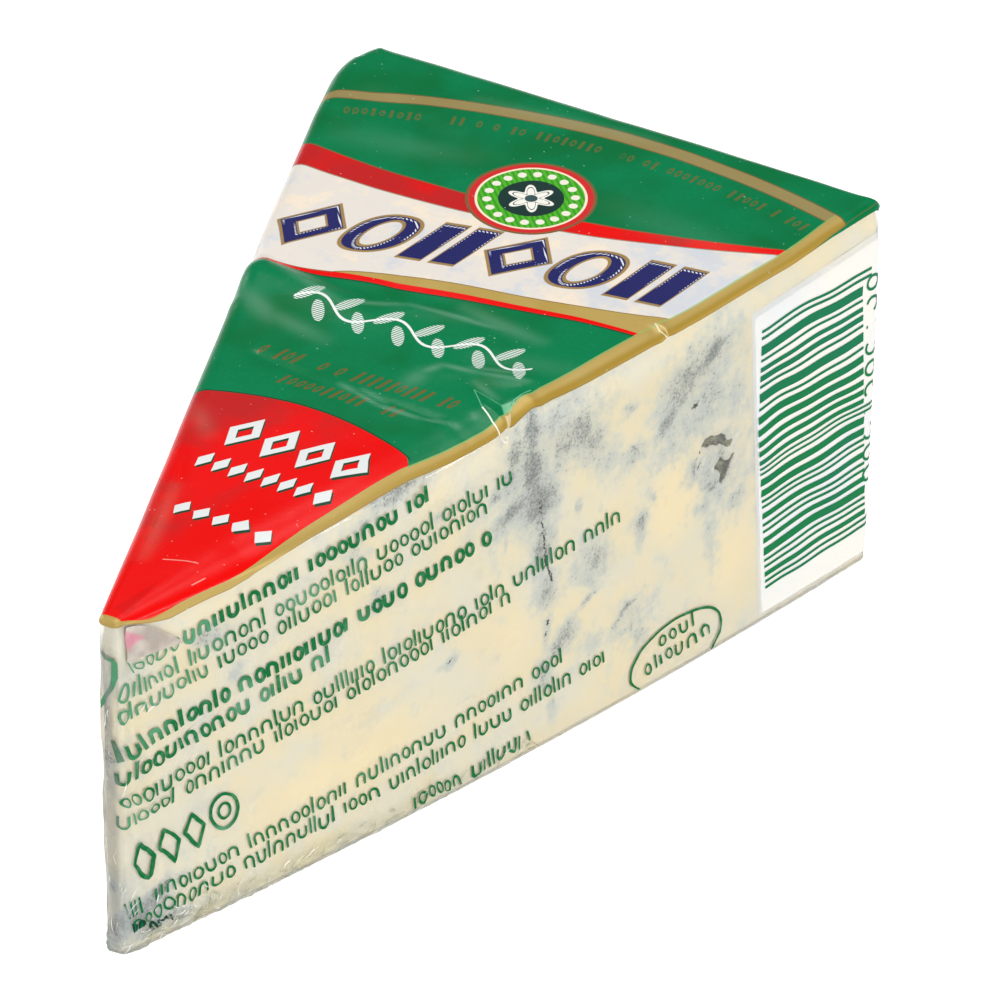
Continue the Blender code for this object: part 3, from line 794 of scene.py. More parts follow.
def bordersOver(film, x, y, edge, colour, green, gold):  # gold arc and borders, green past them
    spec = printing
    fromRight, fromLeft, along = edge[0], edge[1], edge[2]
    pastArc = fromCentre(film, x, y, spec["arcOutside"])[2] - spec["arcOutside"][2]
    beforeArc = spec["arcInside"][2] - fromCentre(film, x, y, spec["arcInside"])[2]
    behindArc = film.past(pastArc)
    inArc = (1 - behindArc) * (1 - film.past(beforeArc))
    rightIn = fromRight - film.steep(along, 84.0, 93.0) * 0.4
    wide = spec["borderWidth"] + film.steep(along, 48.0, 60.0) * film.steep(along, 70.0, 62.0) * 0.3
    wide = wide - (film.steep(along, 30.0, 12.0) * 0.3 + film.steep(along, 9.5, 6.0) * 0.6)
    inRight = film.inside(rightIn, 0.0, wide) * (1 - behindArc)
    leftWidth = 0.3 + film.steep(along, 26.0, 50.0) * 0.9
    inLeft = film.inside(fromLeft - 0.25, 0.0, leftWidth) * (1 - behindArc)
    overNose = film.past(spec["goldNose"] - y, 0.1)
    inGold = film.most(film.most(inArc, inRight), film.most(inLeft, overNose))
    notBorder = (1 - inRight) * (1 - inLeft)
    gold = film.mix(inArc * notBorder * 0.55, gold, spec["arcShade"])
    colour = film.mix(behindArc, colour, green)
    colour = film.mix(inGold, colour, gold)
    colour = film.mix(edgeOf(film, pastArc), colour, spec["brown"])
    colour = film.mix(edgeOf(film, beforeArc) * notBorder, colour, spec["brown"])
    thin = edgeOf(film, rightIn - wide) * (1 - behindArc) * film.steep(along, 5.0, 9.0)
    colour = film.mix(thin * 0.8, colour, spec["innerLine"])
    colour = film.mix(edgeOf(film, rightIn + 0.02) * 0.35, colour, spec["brown"])
    return film.mix(film.steep(rightIn, 0.0, -0.05), colour, green), inGold


def creasesOver(film, place, colour, broad):  # painted sheen in pale streaks, facets painted lighter or darker as if to or from the light, painted highlight lines on sharp creases
    spec = printing
    colour = film.mix(film.field("sheen", 2) * (0.55 + 0.6 * broad), colour, spec["sheenGrey"])
    for corners, tint, strength in spec["facets"]:
        within = 9.0
        for start, end in zip(corners, corners[1:] + corners[:1]):
            start, way = Vector((*start, 0)), (Vector(end) - Vector(start)).normalized()
            inward = Vector((-way.y, way.x, 0))
            within = film.least(film.dot(place, inward) - start.dot(inward), within)
        colour = film.mix(film.steep(within, -0.05, 0.16) * strength, colour, spec[tint])
    for start, end, halfWidth, strength, tint in spec["sharpCreases"]:
        away = film.awayFrom(place, start, end)
        colour = film.mix(film.steep(away, halfWidth, halfWidth * 0.4) * strength, colour, spec[tint])
    return colour


def printedFinish():
    film = Finish("printed film", IOR=1.5, Specular_IOR_Level=0.18)
    place, edge, spot = film.field("printPlace"), film.field("edgePlace"), film.place()
    x, y = place[0], place[1]
    scales = printing["noise"]
    broad = film.noise(spot, scales["broad"], 3.0)
    green, red, gold, white = unevenInksAndPaintedLight(film, x, edge[0], edge[2], broad)
    colour = bandsOver(film, x, y, green, red, gold, white)
    colour = badgeOver(film, x, y, colour)
    colour = friezeOver(film, x, y, colour, white)
    colour = dullRowsOver(film, x, y, colour)
    colour = silverRowsOver(film, x, y, colour)
    colour = stemOver(film, x, y, colour)
    colour, inGold = bordersOver(film, x, y, edge, colour, green, gold)
    dust = film.steep(film.noise(spot, scales["dust"], 1.0), 0.78, 0.8)
    colour = film.mix(dust * 0.55, colour, printing["dust"])
    colour = creasesOver(film, place, colour, broad)
    fine = film.noise(spot, scales["fine"], 3.0, 0.6)
    film.paint(Base_Color=colour, Roughness=0.2 + 0.14 * broad + 0.1 * inGold, Metallic=inGold * 0.15,
               Normal=film.bump(fine, 0.12, 0.00012))
    return film.material


def makePrintedFilm():
    loop = Loop(np.linspace(0, 1, 301), np.linspace(0, 1, 141))
    lift, hemRows = printing["lift"], printing["hemRows"]
    flat = loop.fill(loop.rim)
    x, y = flat[..., 0].ravel(), flat[..., 1].ravel()
    points = [np.column_stack([x, y, topHeight(x, y) + lift])]
    unfolded = [flat.reshape(-1, 2)]
    index = np.arange(flat.shape[0] * flat.shape[1]).reshape(flat.shape[:2])
    faces = gridFaces(index)
    levels = [loop.rimOfGrid(index)]
    count = len(loop.point)
    for step in range(1, hemRows + 1):
        way = loop.hem * step / hemRows
        levels.append(np.arange(count) + sum(len(p) for p in points))
        points.append(loop.over(way, np.full(count, lift)))
        unfolded.append(loop.rim + loop.outward * way[:, None])
    faces += ringFaces(np.array(levels))
    points, unfolded = np.vstack(points), np.vstack(unfolded)

    def wayIn(name):  # distance from the hem along one cut side, in the unfolded film
        line = (loop.rim + loop.outward * loop.hem[:, None])[loop.corner[name]]
        least = np.full(len(unfolded), 1e9)
        for start, end in zip(line[:-1:2], line[2::2]):
            least = np.minimum(least, nearLine(*unfolded.T, start, end)[1])
        return least

    sheen = np.zeros(len(unfolded))
    for start, end, halfWidth, strength in printing["sheens"]:
        t, away = nearLine(*unfolded.T, start, end)
        streak = strength * np.exp(-(away / halfWidth) ** 2) * (0.5 + 0.5 * np.sin(math.pi * t))
        sheen = np.maximum(sheen, streak)
    edgePlace = np.column_stack([wayIn("right"), wayIn("left"), unfolded @ alongCut["right"]])
    piece = makePiece("printedFilm", points, faces, printedFinish(),
                      {"printPlace": np.column_stack([unfolded, np.zeros(len(unfolded))]),
                       "edgePlace": edgePlace, "sheen": sheen})
    settle(piece, "printed_film")


clearFilm = {
    "bottomReach": 3.4,  # height of the crumpled strip along the foot
    "bottomDepth": 0.28,
    "noseReach": 11.0,  # length of the gathered stretch at the nose
    "noseDepth": 0.2,
    "slackDepth": 0.04,
    "gap": 0.04,  # between the film and the cheese
    "rippleSeeds": {"right": 31, "left": 41, "back": 51, "nose": 31},
    "hazeSeeds": {"right": 61, "left": 71, "back": 81, "nose": 61},
    "edgeRows": 9,
    "wallRows": 66,
    "footRows": 5,
    "underPrint": 1.2,  # how far the clear film goes on under the printed hem
    "crowding": 1.6,  # of the rows towards the foot
    "clear": ink(245, 245, 245),
    "warmHaze": ink(206, 205, 190),
    "coolHaze": ink(186, 196, 196),
}


def ridged(x, y, seed):  # sharp ridges, as crumpled film has
    return 1 - np.abs(2 * layeredNoise(x, y, seed, 2) - 1)


def ripple(name, along, height):
    seed = clearFilm["rippleSeeds"][name]
    foot = smooth(height, clearFilm["bottomReach"], 0.2)
    nearNose = 0.35 + 0.65 * smooth(along, 60, 15)
    slanted = ridged((along + height * 1.7) / 1.3, height / 2.6, seed)
    across = ridged((along - height * 0.9) / 2.1, height / 1.5, seed + 9)
    crumple = clearFilm["bottomDepth"] * foot * nearNose * (0.7 * slanted ** 4 + 0.5 * across ** 4 - 0.15)
    gather = smooth(along, 3 + clearFilm["noseReach"], 3)
    pleats = ridged(along / 2.2 + height / 9.0, height / 6.5, seed + 3)
    crumple += clearFilm["noseDepth"] * gather * (pleats ** 3 - 0.2)
    slack = layeredNoise(along / 9.0 + 3, height / 5.0, seed + 6)
    return crumple + clearFilm["slackDepth"] * (slack - 0.5) + clearFilm["gap"]


def haze(name, along, height):  # where the film lies loose, milky with small folds
    seed = clearFilm["hazeSeeds"][name]
    foot = smooth(height, clearFilm["bottomReach"] + 0.6, 0.0) * (0.3 + 0.7 * smooth(along, 55, 12))
    corner = smooth(np.hypot((along - 3) / 7, (height - 1.0) / 4.2), 1.0, 0.2)
    patches = smooth(layeredNoise(along / 5.5, height / 3.2, seed), 0.55, 0.75) * smooth(along, 60, 30)
    strip = smooth(along, 5.2, 3.0)
    return np.clip(0.55 * foot + 0.5 * corner + 0.35 * patches + 0.4 * strip, 0, 1)


def loopPlaces(loop):  # for every station: which wall it is on, and where along it
    names = np.empty(len(loop.point), object)
    along = np.zeros(len(loop.point))
    for name in ("nose", "back", "left", "right"):
        order = loop.corner[name]
        names[order] = name
        if name in alongCut:
            along[order] = loop.point[order] @ alongCut[name]
        else:
            along[order] = loop.point[order, 0] + (3.0 if name == "nose" else 60.0)
    return names, along


def onLoop(loop, function, height):  # a wall's function, read at every station
    names, along = loopPlaces(loop)
    values = np.zeros(len(along))
    for name in ("nose", "back", "left", "right"):
        chosen = names == name
        values[chosen] = function(name, along[chosen], height[chosen])
    return values


def clearFinish():
    film = Finish("clear film", IOR=1.5, Roughness=0.12)
    spot = film.place()
    loose = film.field("haze", 2)
    cloud = film.noise(spot, 260.0, 3.0)
    fine = film.noise(spot, 1500.0, 2.0, 0.6)
    glance = film.node("ShaderNodeFresnel", {}, {"IOR": 1.45})
    milky = loose * film.steep(cloud, 0.32, 0.66)
    tint = film.mix(film.steep(cloud, 0.4, 0.6), clearFilm["warmHaze"], clearFilm["coolHaze"])
    calm = 1 - film.field("underHem", 2) * 0.8
    film.paint(Base_Color=film.mix(milky, clearFilm["clear"], tint),
               Metallic=1 - film.steep(milky, 0.0, 0.25) * 0.8, Roughness=0.12 + 0.2 * milky,
               Normal=film.bump(fine, 0.12, 0.0001))
    film.clear(film.least(glance * 0.85 * calm + milky * 0.42, 1.0))
    return film.material


def makeClearFilm():
    loop = Loop(np.linspace(0, 1, 561), np.linspace(0, 1, 41))
    count = len(loop.point)
    edgeRows, wallRows, footRows = (clearFilm[key] for key in ("edgeRows", "wallRows", "footRows"))
    start = np.maximum(loop.hem - clearFilm["underPrint"], loop.arc * 0.35)
    end = np.maximum(loop.hem, loop.arc)
    levels = []
    for step in range(edgeRows + 1):
        levels.append(loop.over(start + (end - start) * step / edgeRows, np.zeros(count)))
    second = levels[-1]
    underHem = [np.ones(count) for _ in levels]
    for step in range(1, wallRows + 1):
        share = 1 - (1 - step / wallRows) ** clearFilm["crowding"]
        height = second[:, 2] * (1 - share) + (loop.foot + cut["footRise"]) * share
        levels.append(loop.wall(share, second[:, 2], onLoop(loop, ripple, height) * min(step / 3, 1)))
        underHem.append(np.clip(1 - (second[:, 2] - height) / 3, 0, 1))
    footLift = onLoop(loop, ripple, levels[-1][:, 2])
    for step in range(1, footRows + 1):
        angle = math.pi / 2 * step / footRows
        fading = footLift * (1 - step / footRows)
        levels.append(loop.under(angle, fading, cut["footRise"] * (1 - step / footRows) + 0.03))
        underHem.append(np.zeros(count))
    hazes = [onLoop(loop, haze, level[:, 2]) for level in levels]
    levels.append(drawnIn(levels[-1]))
    underHem.append(np.zeros(count))
    hazes.append(np.full(count, 0.3))
    piece = makePiece("clearFilm", np.vstack(levels), loftFaces(levels), clearFinish(),
                      {"haze": np.concatenate(hazes), "underHem": np.concatenate(underHem)})
    settle(piece, "cheese_wedge")


cheese = {
    "noise": {"broad": 150.0, "patch": 420.0, "fine": 1300.0, "tiny": 3600.0},
    "wallRows": 88,
    "edgeRows": 6,
    "footRows": 5,
    "unevenness": 0.08,
    "mouldSinks": 0.06,
    "skinMould": 0.42,
    "wobble": 1.7,  # how far noise moves the mould's outlines
    "wobbleSize": 2.4,
    "cream": ink(234, 223, 191),
    "warmCream": ink(243, 228, 188),
    "paleCream": ink(228, 223, 203),
    "milk": ink(219, 220, 209),
    "paleMould": ink(207, 210, 200),
    "blueMould": ink(197, 203, 198),
    "greyMould": ink(163, 167, 162),
    "speck": ink(92, 97, 94),
    "footOlive": ink(196, 190, 148),
    "hollow": ink(128, 128, 112),
    "crumb": ink(166, 161, 128),
    "crack": ink(58, 58, 52),
    "holeRim": ink(234, 234, 226),
    # mould: along the side, height, reach along, reach up, lean in degrees, strength
    "mould": (
        (49.3, 33.6, 1.0, 2.6, 0, 0.85), (49.8, 29.6, 1.5, 2.6, 4, 0.9), (50.2, 26.0, 2.2, 3.0, 0, 0.8),
        (50.8, 21.6, 1.3, 2.6, 0, 0.62), (51.4, 16.2, 1.7, 1.9, 0, 0.66), (51.5, 12.2, 0.9, 2.4, 0, 0.5),
        (53.6, 10.4, 1.9, 1.3, 28, 0.66), (51.2, 7.6, 1.0, 1.8, 0, 0.6), (52.4, 3.4, 0.7, 1.6, 0, 0.45),
        (47.2, 31.0, 1.2, 3.4, -14, 0.62), (46.6, 26.3, 2.2, 0.9, 6, 0.8), (45.0, 28.9, 0.9, 0.7, 0, 0.72),
        (46.3, 23.6, 0.3, 1.1, 0, 0.55), (53.6, 32.8, 0.9, 0.8, 0, 0.6), (55.8, 30.2, 2.9, 2.9, 20, 0.62),
        (56.6, 30.6, 0.8, 0.8, 0, 0.42), (57.6, 32.1, 0.8, 0.5, 20, 0.4), (58.0, 26.8, 2.2, 1.6, 0, 0.36),
        (61.6, 30.6, 1.2, 0.5, 25, 0.5), (62.0, 25.6, 2.0, 1.4, 10, 0.48), (55.4, 23.8, 0.35, 0.8, 0, 0.6),
        (72.5, 32.1, 1.9, 0.8, 38, 0.82), (70.6, 31.2, 1.0, 0.7, 40, 0.8), (69.2, 29.6, 0.8, 0.9, 0, 0.72),
        (66.6, 27.2, 2.2, 0.8, 32, 0.8), (71.4, 30.6, 5.0, 3.6, 32, 0.46), (70.6, 26.2, 5.4, 2.4, 22, 0.44),
        (75.3, 27.2, 2.2, 3.4, 0, 0.36), (73.2, 20.6, 3.4, 3.2, 0, 0.46), (70.4, 20.8, 0.4, 1.4, 0, 0.66),
        (72.0, 18.0, 1.3, 0.4, 10, 0.66), (75.8, 15.3, 1.2, 1.5, 0, 0.52), (71.7, 16.2, 0.9, 1.4, 0, 0.5),
        (72.6, 12.6, 0.8, 2.6, 0, 0.34), (63.2, 17.6, 0.8, 1.9, -8, 0.62), (64.9, 20.4, 0.8, 1.1, 30, 0.4),
        (57.4, 17.6, 2.0, 1.7, 20, 0.56), (56.2, 15.6, 0.8, 1.4, 30, 0.46), (56.3, 13.0, 1.5, 0.45, 30, 0.7),
        (61.6, 9.9, 1.9, 0.4, 34, 0.78), (62.4, 8.2, 3.0, 2.6, 20, 0.44), (63.3, 5.6, 1.5, 1.8, 0, 0.44),
        (56.6, 8.6, 2.2, 1.8, 0, 0.34), (33.6, 33.6, 3.6, 0.9, 8, 0.62), (29.6, 32.4, 1.4, 1.0, 0, 0.45),
        (31.2, 24.3, 1.3, 1.3, 0, 0.52), (28.2, 30.4, 1.5, 1.3, 0, 0.42), (38.4, 29.6, 1.0, 1.4, 0, 0.34),
        (12.6, 28.9, 2.4, 1.0, 12, 0.5), (15.4, 23.6, 1.0, 1.2, 0, 0.42), (39.6, 14.0, 1.4, 0.5, 20, 0.4),
        (7.6, 2.0, 3.4, 1.0, 4, 0.6), (2.3, 22.0, 0.9, 4.2, 0, 0.8), (1.6, 24.6, 0.5, 0.6, 0, 1.0),
        (4.6, 3.6, 3.6, 0.9, 27, 0.95), (2.6, 7.0, 0.6, 0.8, 0, 0.7), (51.0, 33.6, 5.0, 3.4, 8, 0.42),
        (54.8, 31.6, 4.0, 3.2, 20, 0.6), (48.6, 27.4, 3.8, 5.0, 0, 0.5), (69.0, 30.6, 4.0, 3.0, 35, 0.58),
        (57.0, 17.0, 2.6, 2.6, 20, 0.4), (74.0, 19.0, 3.0, 3.0, 0, 0.4),
        (78.6, 20.0, 1.4, 6.0, 0, 0.3), (84.0, 24.0, 4.5, 4.0, 20, 0.5), (88.0, 12.0, 3.5, 3.0, 0, 0.5),
    ),
    "warm": ((67.6, 18.6, 3.4, 4.4, 0, 1.0), (67.2, 14.8, 1.6, 0.7, 14, 0.5), (47.0, 13.4, 3.6, 4.0, 0, 0.7),
             (58.6, 21.4, 3.0, 2.2, 0, 0.6), (63.0, 23.0, 2.6, 1.2, 0, 0.5), (76.0, 9.0, 5.0, 6.0, 0, 0.7),
             (28.0, 8.6, 12.0, 3.6, 4, 0.8), (52.2, 5.2, 0.5, 1.3, 8, 1.0), (63.6, 31.4, 2.4, 3.0, 30, 0.4)),
    # holes: corners (along, height), depth
    "holes": (
        (((71.0, 22.7), (71.3, 23.2), (72.1, 23.4), (73.0, 23.1), (73.8, 23.0), (74.5, 22.5), (74.7, 21.9),
          (75.2, 21.7), (75.8, 22.0), (75.2, 21.3), (75.0, 20.9), (74.6, 21.2), (74.2, 21.6), (73.2, 22.0),
          (72.2, 22.2)), 0.8),
        (((72.7, 19.7), (73.3, 20.0), (73.4, 20.4), (74.0, 20.4), (74.6, 19.7), (75.3, 20.1), (75.6, 20.4),
          (75.8, 20.0), (75.2, 19.2), (75.0, 18.6), (74.8, 18.0), (74.1, 17.5), (73.7, 17.8), (73.8, 18.4),
          (74.0, 18.9), (73.3, 19.3)), 0.9),
        (((70.5, 20.5), (70.8, 21.0), (71.4, 21.3), (70.9, 20.4)), 0.6),
    ),
    # fine cracks, painted dark as the shade in them, broken by their own unevenness: places, half width
    "cracks": (
        (((50.6, 25.4), (50.75, 23.9), (50.95, 22.2), (51.2, 20.6), (51.2, 19.1)), 0.17),
        (((51.2, 19.5), (51.5, 18.8), (51.8, 18.1), (52.0, 17.2)), 0.24), (((50.9, 18.9), (51.3, 19.2)), 0.2),
        (((51.6, 13.1), (51.6, 12.8)), 0.2), (((51.4, 12.0), (51.4, 11.7)), 0.16),
        (((71.0, 22.5), (70.3, 21.7)), 0.14), (((39.4, 13.9), (40.2, 14.4)), 0.1),
        (((69.8, 27.5), (70.1, 27.6)), 0.34), (((50.5, 25.8), (50.6, 25.9)), 0.28),
    ),
}


def blobs(spots, along, height):
    total = np.zeros_like(along)
    for a, h, reachA, reachH, lean, strength in spots:
        c, s = math.cos(math.radians(lean)), math.sin(math.radians(lean))
        u = ((along - a) * c + (height - h) * s) / reachA
        v = ((height - h) * c - (along - a) * s) / reachH
        total = np.maximum(total, strength * np.exp(-0.7 * (u * u + v * v)))
    return total


def depthIn(corners, along, height):  # distance inside an outline, negative outside
    least, within = np.full(along.shape, 1e9), np.zeros(along.shape, bool)
    for start, end in zip(corners, corners[1:] + corners[:1]):
        least = np.minimum(least, nearLine(along, height, start, end)[1])
        across, rise = end[0] - start[0], end[1] - start[1]
        crossed = (start[1] > height) != (end[1] > height)
        within ^= crossed & (along < start[0] + (height - start[1]) * across / (rise or 1.0))
    return np.where(within, least, -least)


def holesAt(along, height):  # how far inside the nearest hole, and its depth there
    inside, depth = np.full(along.shape, -1.0), np.zeros(along.shape)
    for corners, deepest in cheese["holes"]:
        here = depthIn(corners, along, height)
        inside = np.maximum(inside, here)
        depth = np.maximum(depth, deepest * smooth(here, -0.12, 0.3))
    return inside, depth


def mirrored(spots):  # for the other cut face, whose veins run between the same layers of the cheese
    return [(s * 0.93 + 4, 37 - z, u, v, -lean, k) for s, z, u, v, lean, k in spots]


def growthOn(name, along, height):  # mould, warmth, how far inside a hole and how deep, on a wall
    size, reach = cheese["wobbleSize"], cheese["wobble"]
    a = along + (layeredNoise(along / size, height / size, 91) - 0.5) * reach
    h = height + (layeredNoise(along / size + 9, height / size + 5, 95) - 0.5) * reach
    inside, depth = np.full(along.shape, -1.0), np.zeros(along.shape)
    if name in ("right", "nose"):
        mould, warm = blobs(cheese["mould"], a, h), blobs(cheese["warm"], a, h)
        if name == "right":
            inside, depth = holesAt(along, height)
    elif name == "left":
        mould, warm = blobs(mirrored(cheese["mould"]), a, h), blobs(mirrored(cheese["warm"]), a, h)
        inside, depth = holesAt(117.0 - along, 36.0 - height)
        rind = smooth(along, 82, 92)  # the skin starts before the corner
        mould, warm = mould * (1 - rind), warm * (1 - rind) + 0.8 * rind
    else:  # the outside of the round: skin with a few grey patches
        mould = cheese["skinMould"] * smooth(layeredNoise(along / 6, height / 6, 97), 0.5, 0.75)
        warm = 0.6 + 0.4 * layeredNoise(along / 9, height / 9, 99)
    return mould, warm, inside, depth


def cheeseFinish():
    food = Finish("blue cheese", IOR=1.4, Specular_IOR_Level=0.35, Subsurface_Weight=0.12,
                  Subsurface_Radius=(0.0016, 0.0012, 0.0007), Subsurface_Scale=1.0)
    spot = food.place()
    growth = food.field("growth")
    mould, warm, hole = growth[0], growth[1], growth[2]
    wallPlace = food.field("wallPlace")
    along, height, cracked = wallPlace[0], wallPlace[1], wallPlace[2]
    spec, scales = cheese, cheese["noise"]
    broad = food.noise(spot, scales["broad"], 3.0)
    patch = food.noise(spot, scales["patch"], 4.0, 0.6)
    fine = food.noise(spot, scales["fine"], 4.0, 0.7)
    tiny = food.noise(spot, scales["tiny"], 2.0, 0.7)
    colour = food.mix(food.steep(broad, 0.36, 0.62), spec["cream"], spec["paleCream"])
    colour = food.mix(food.steep(patch, 0.5, 0.7) * 0.4, colour, spec["milk"])
    colour = food.mix(food.steep(warm + (broad - 0.5) * 0.9, 0.25, 0.9) * 0.8, colour, spec["warmCream"])
    # darker and more olive towards the foot, near the nose end: partly painted shade near the floor, partly
    # the tint the crumpled film gives it
    lowDownShade = food.steep(height + (broad - 0.5) * 3.0, 3.0, 0.5) * food.steep(along, 62.0, 22.0)
    colour = food.mix(lowDownShade * (0.35 + 0.4 * patch), colour, spec["footOlive"])
    field = mould * 1.06 + (patch - 0.5) * 0.8 + (fine - 0.5) * 0.7
    pale = food.steep(field, 0.05, 0.45)
    grey = food.steep(field + (tiny - 0.5) * 0.9, 0.38, 0.8)
    dark = food.steep(field + (tiny - 0.5) * 2.6, 0.78, 1.0)
    tone = food.mix(food.steep(broad, 0.44, 0.56), spec["paleMould"], spec["blueMould"])
    colour = food.mix(pale * 0.8, colour, tone)
    colour = food.mix(grey * 0.85, colour, spec["greyMould"])
    colour = food.mix(dark * 0.5, colour, spec["speck"])
    rough = (tiny - 0.5) * 0.2
    # painted highlight: a pale ring round the edge of each hole
    colour = food.mix(food.inside(hole + rough, -0.28, -0.02, 0.1) * 0.45, colour, spec["holeRim"])
    # painted shade: the insides of the holes are dark olive, as a shaded recess, with paler crumbs and dark
    # specks
    shadedHoleInside = food.mix(food.steep(tiny, 0.48, 0.66), spec["hollow"], spec["crumb"])
    shadedHoleInside = food.mix(food.steep(hole, 0.35, 0.1) * food.steep(fine, 0.4, 0.6), shadedHoleInside, spec["speck"])
    colour = food.mix(food.steep(hole + rough, -0.02, 0.04), colour, shadedHoleInside)
    shaken = food.node("ShaderNodeCombineXYZ", {}, {0: along + (fine - 0.5) * 0.5, 1: height})
    # painted shade along the cracks
    for places, halfWidth in spec["cracks"]:
        for start, end in zip(places, places[1:]):
            away = food.awayFrom(shaken, start, end) + (0.58 - tiny) * 0.9
            colour = food.mix(food.steep(away, halfWidth, halfWidth * 0.6) * cracked, colour, spec["crack"])
    rise = patch * 0.5 + fine * 0.35 + grey * 0.4
    food.paint(Base_Color=colour, Roughness=0.42 + 0.2 * pale, Normal=food.bump(rise, 0.35, 0.0004))
    return food.material


def makeCheese():
    loop = Loop(np.linspace(0, 1, 301), np.linspace(0, 1, 81))
    count = len(loop.point)
    wallRows, edgeRows, footRows = (cheese[key] for key in ("wallRows", "edgeRows", "footRows"))
    names, along = loopPlaces(loop)
    levels = []
    for step in range(edgeRows + 1):
        levels.append(loop.over(loop.arc * step / edgeRows, np.full(count, bodyLift)))
    wallTop = levels[-1][:, 2]
    for step in range(1, wallRows + 1):
        lift = bodyLift + (cheeseLift - bodyLift) * min(step / 6, 1)
        levels.append(loop.wall(step / wallRows, wallTop, np.full(count, lift)))
    for step in range(1, footRows + 1):
        angle = math.pi / 2 * step / footRows
        levels.append(loop.under(angle, np.full(count, cheeseLift), 0.3))
    levels.append(drawnIn(levels[-1]))
    fields, places = np.zeros((len(levels), count, 3)), np.zeros((len(levels), count, 3))
    for number, level in enumerate(levels):
        height, pit = level[:, 2], np.zeros(count)
        for name in ("nose", "back", "left", "right"):
            chosen = names == name
            *growth, pit[chosen] = growthOn(name, along[chosen], height[chosen])
            fields[number, chosen] = np.column_stack(growth)
        places[number] = np.column_stack([along, height, names == "right"])
        relief = cheese["unevenness"] * (layeredNoise(along / 3.0, height / 3.0, 105) - 0.5)
        relief -= cheese["mouldSinks"] * smooth(fields[number, :, 0], 0.4, 0.9) + pit
        level[:, :2] += loop.outward * relief[:, None]
    fields[-1], places[-1] = (0.3, 0.3, -1.0), (80.0, 0.3, 0.0)  # even over the underside
    sunk = levels[0] - np.column_stack([loop.outward * 2.0, np.full(count, 1.3)])
    levels.insert(0, sunk)
    fields, places = np.concatenate([fields[:1], fields]), np.concatenate([places[:1], places])
    piece = makePiece("cheese", np.vstack(levels), loftFaces(levels, False), cheeseFinish(),
                      {"growth": fields.reshape(-1, 3), "wallPlace": places.reshape(-1, 3)})
    settle(piece, "cheese_wedge")


class Ink:  # flat marks, drawn in a wall's own two directions and then laid on the film
    def __init__(self):
        self.marks = []
        self.faces = []

    def stroke(self, path, width, closed=False):
        path = np.array(path, float)
        if closed:
            way = np.roll(path, -1, axis=0) - np.roll(path, 1, axis=0)
        else:
            way = np.gradient(path, axis=0)
        beside = np.column_stack([-way[:, 1], way[:, 0]]) / np.linalg.norm(way, axis=1)[:, None] * width / 2
        first = len(self.marks)
        self.marks += np.hstack([path - beside, path + beside]).reshape(-1, 2).tolist()
        count = len(path)
        for k in range(count if closed else count - 1):
            a, b = first + 2 * k, first + 2 * ((k + 1) % count)
            self.faces.append((a, b, b + 1, a + 1))

    def lay(self, name, wall, lift, finish, drift=0.0):
        marks = np.array(self.marks)
        along, height = marks[:, 0], marks[:, 1]
        loose = drift * (0.35 + smooth(height, 6, 1) + smooth(along, 16, 5))
        worn = smooth(layeredNoise(along / 5.5, height / 3.5, 141), 0.52, 0.74) * smooth(along, 40, 22)
        worn = np.clip(worn + 0.9 * smooth(along, 14, 8) * smooth(height, 22, 26), 0, 1)
        points = wall.at(along + loose * (layeredNoise(along / 2.5, height / 2.5, 131) - 0.5),
                         height + loose * (layeredNoise(along / 2.5, height / 2.5, 135) - 0.5), lift)
        faces = self.faces if wall.name == "right" else [face[::-1] for face in self.faces]
        return makePiece(name, points, faces, finish, {"worn": worn})


def printFinish(name, colour, faded):
    marks = Finish(name, IOR=1.5, Roughness=0.3, Specular_IOR_Level=0.05)
    spot = marks.place()
    uneven = marks.noise(spot, 1600.0, 2.0)
    tint = marks.mix(marks.field("worn", 2) * 0.75, colour, faded)
    marks.paint(Base_Color=marks.mix(marks.steep(uneven, 0.45, 0.75) * 0.35, tint, faded),
                Roughness=0.24 + 0.14 * uneven)
    return marks.material


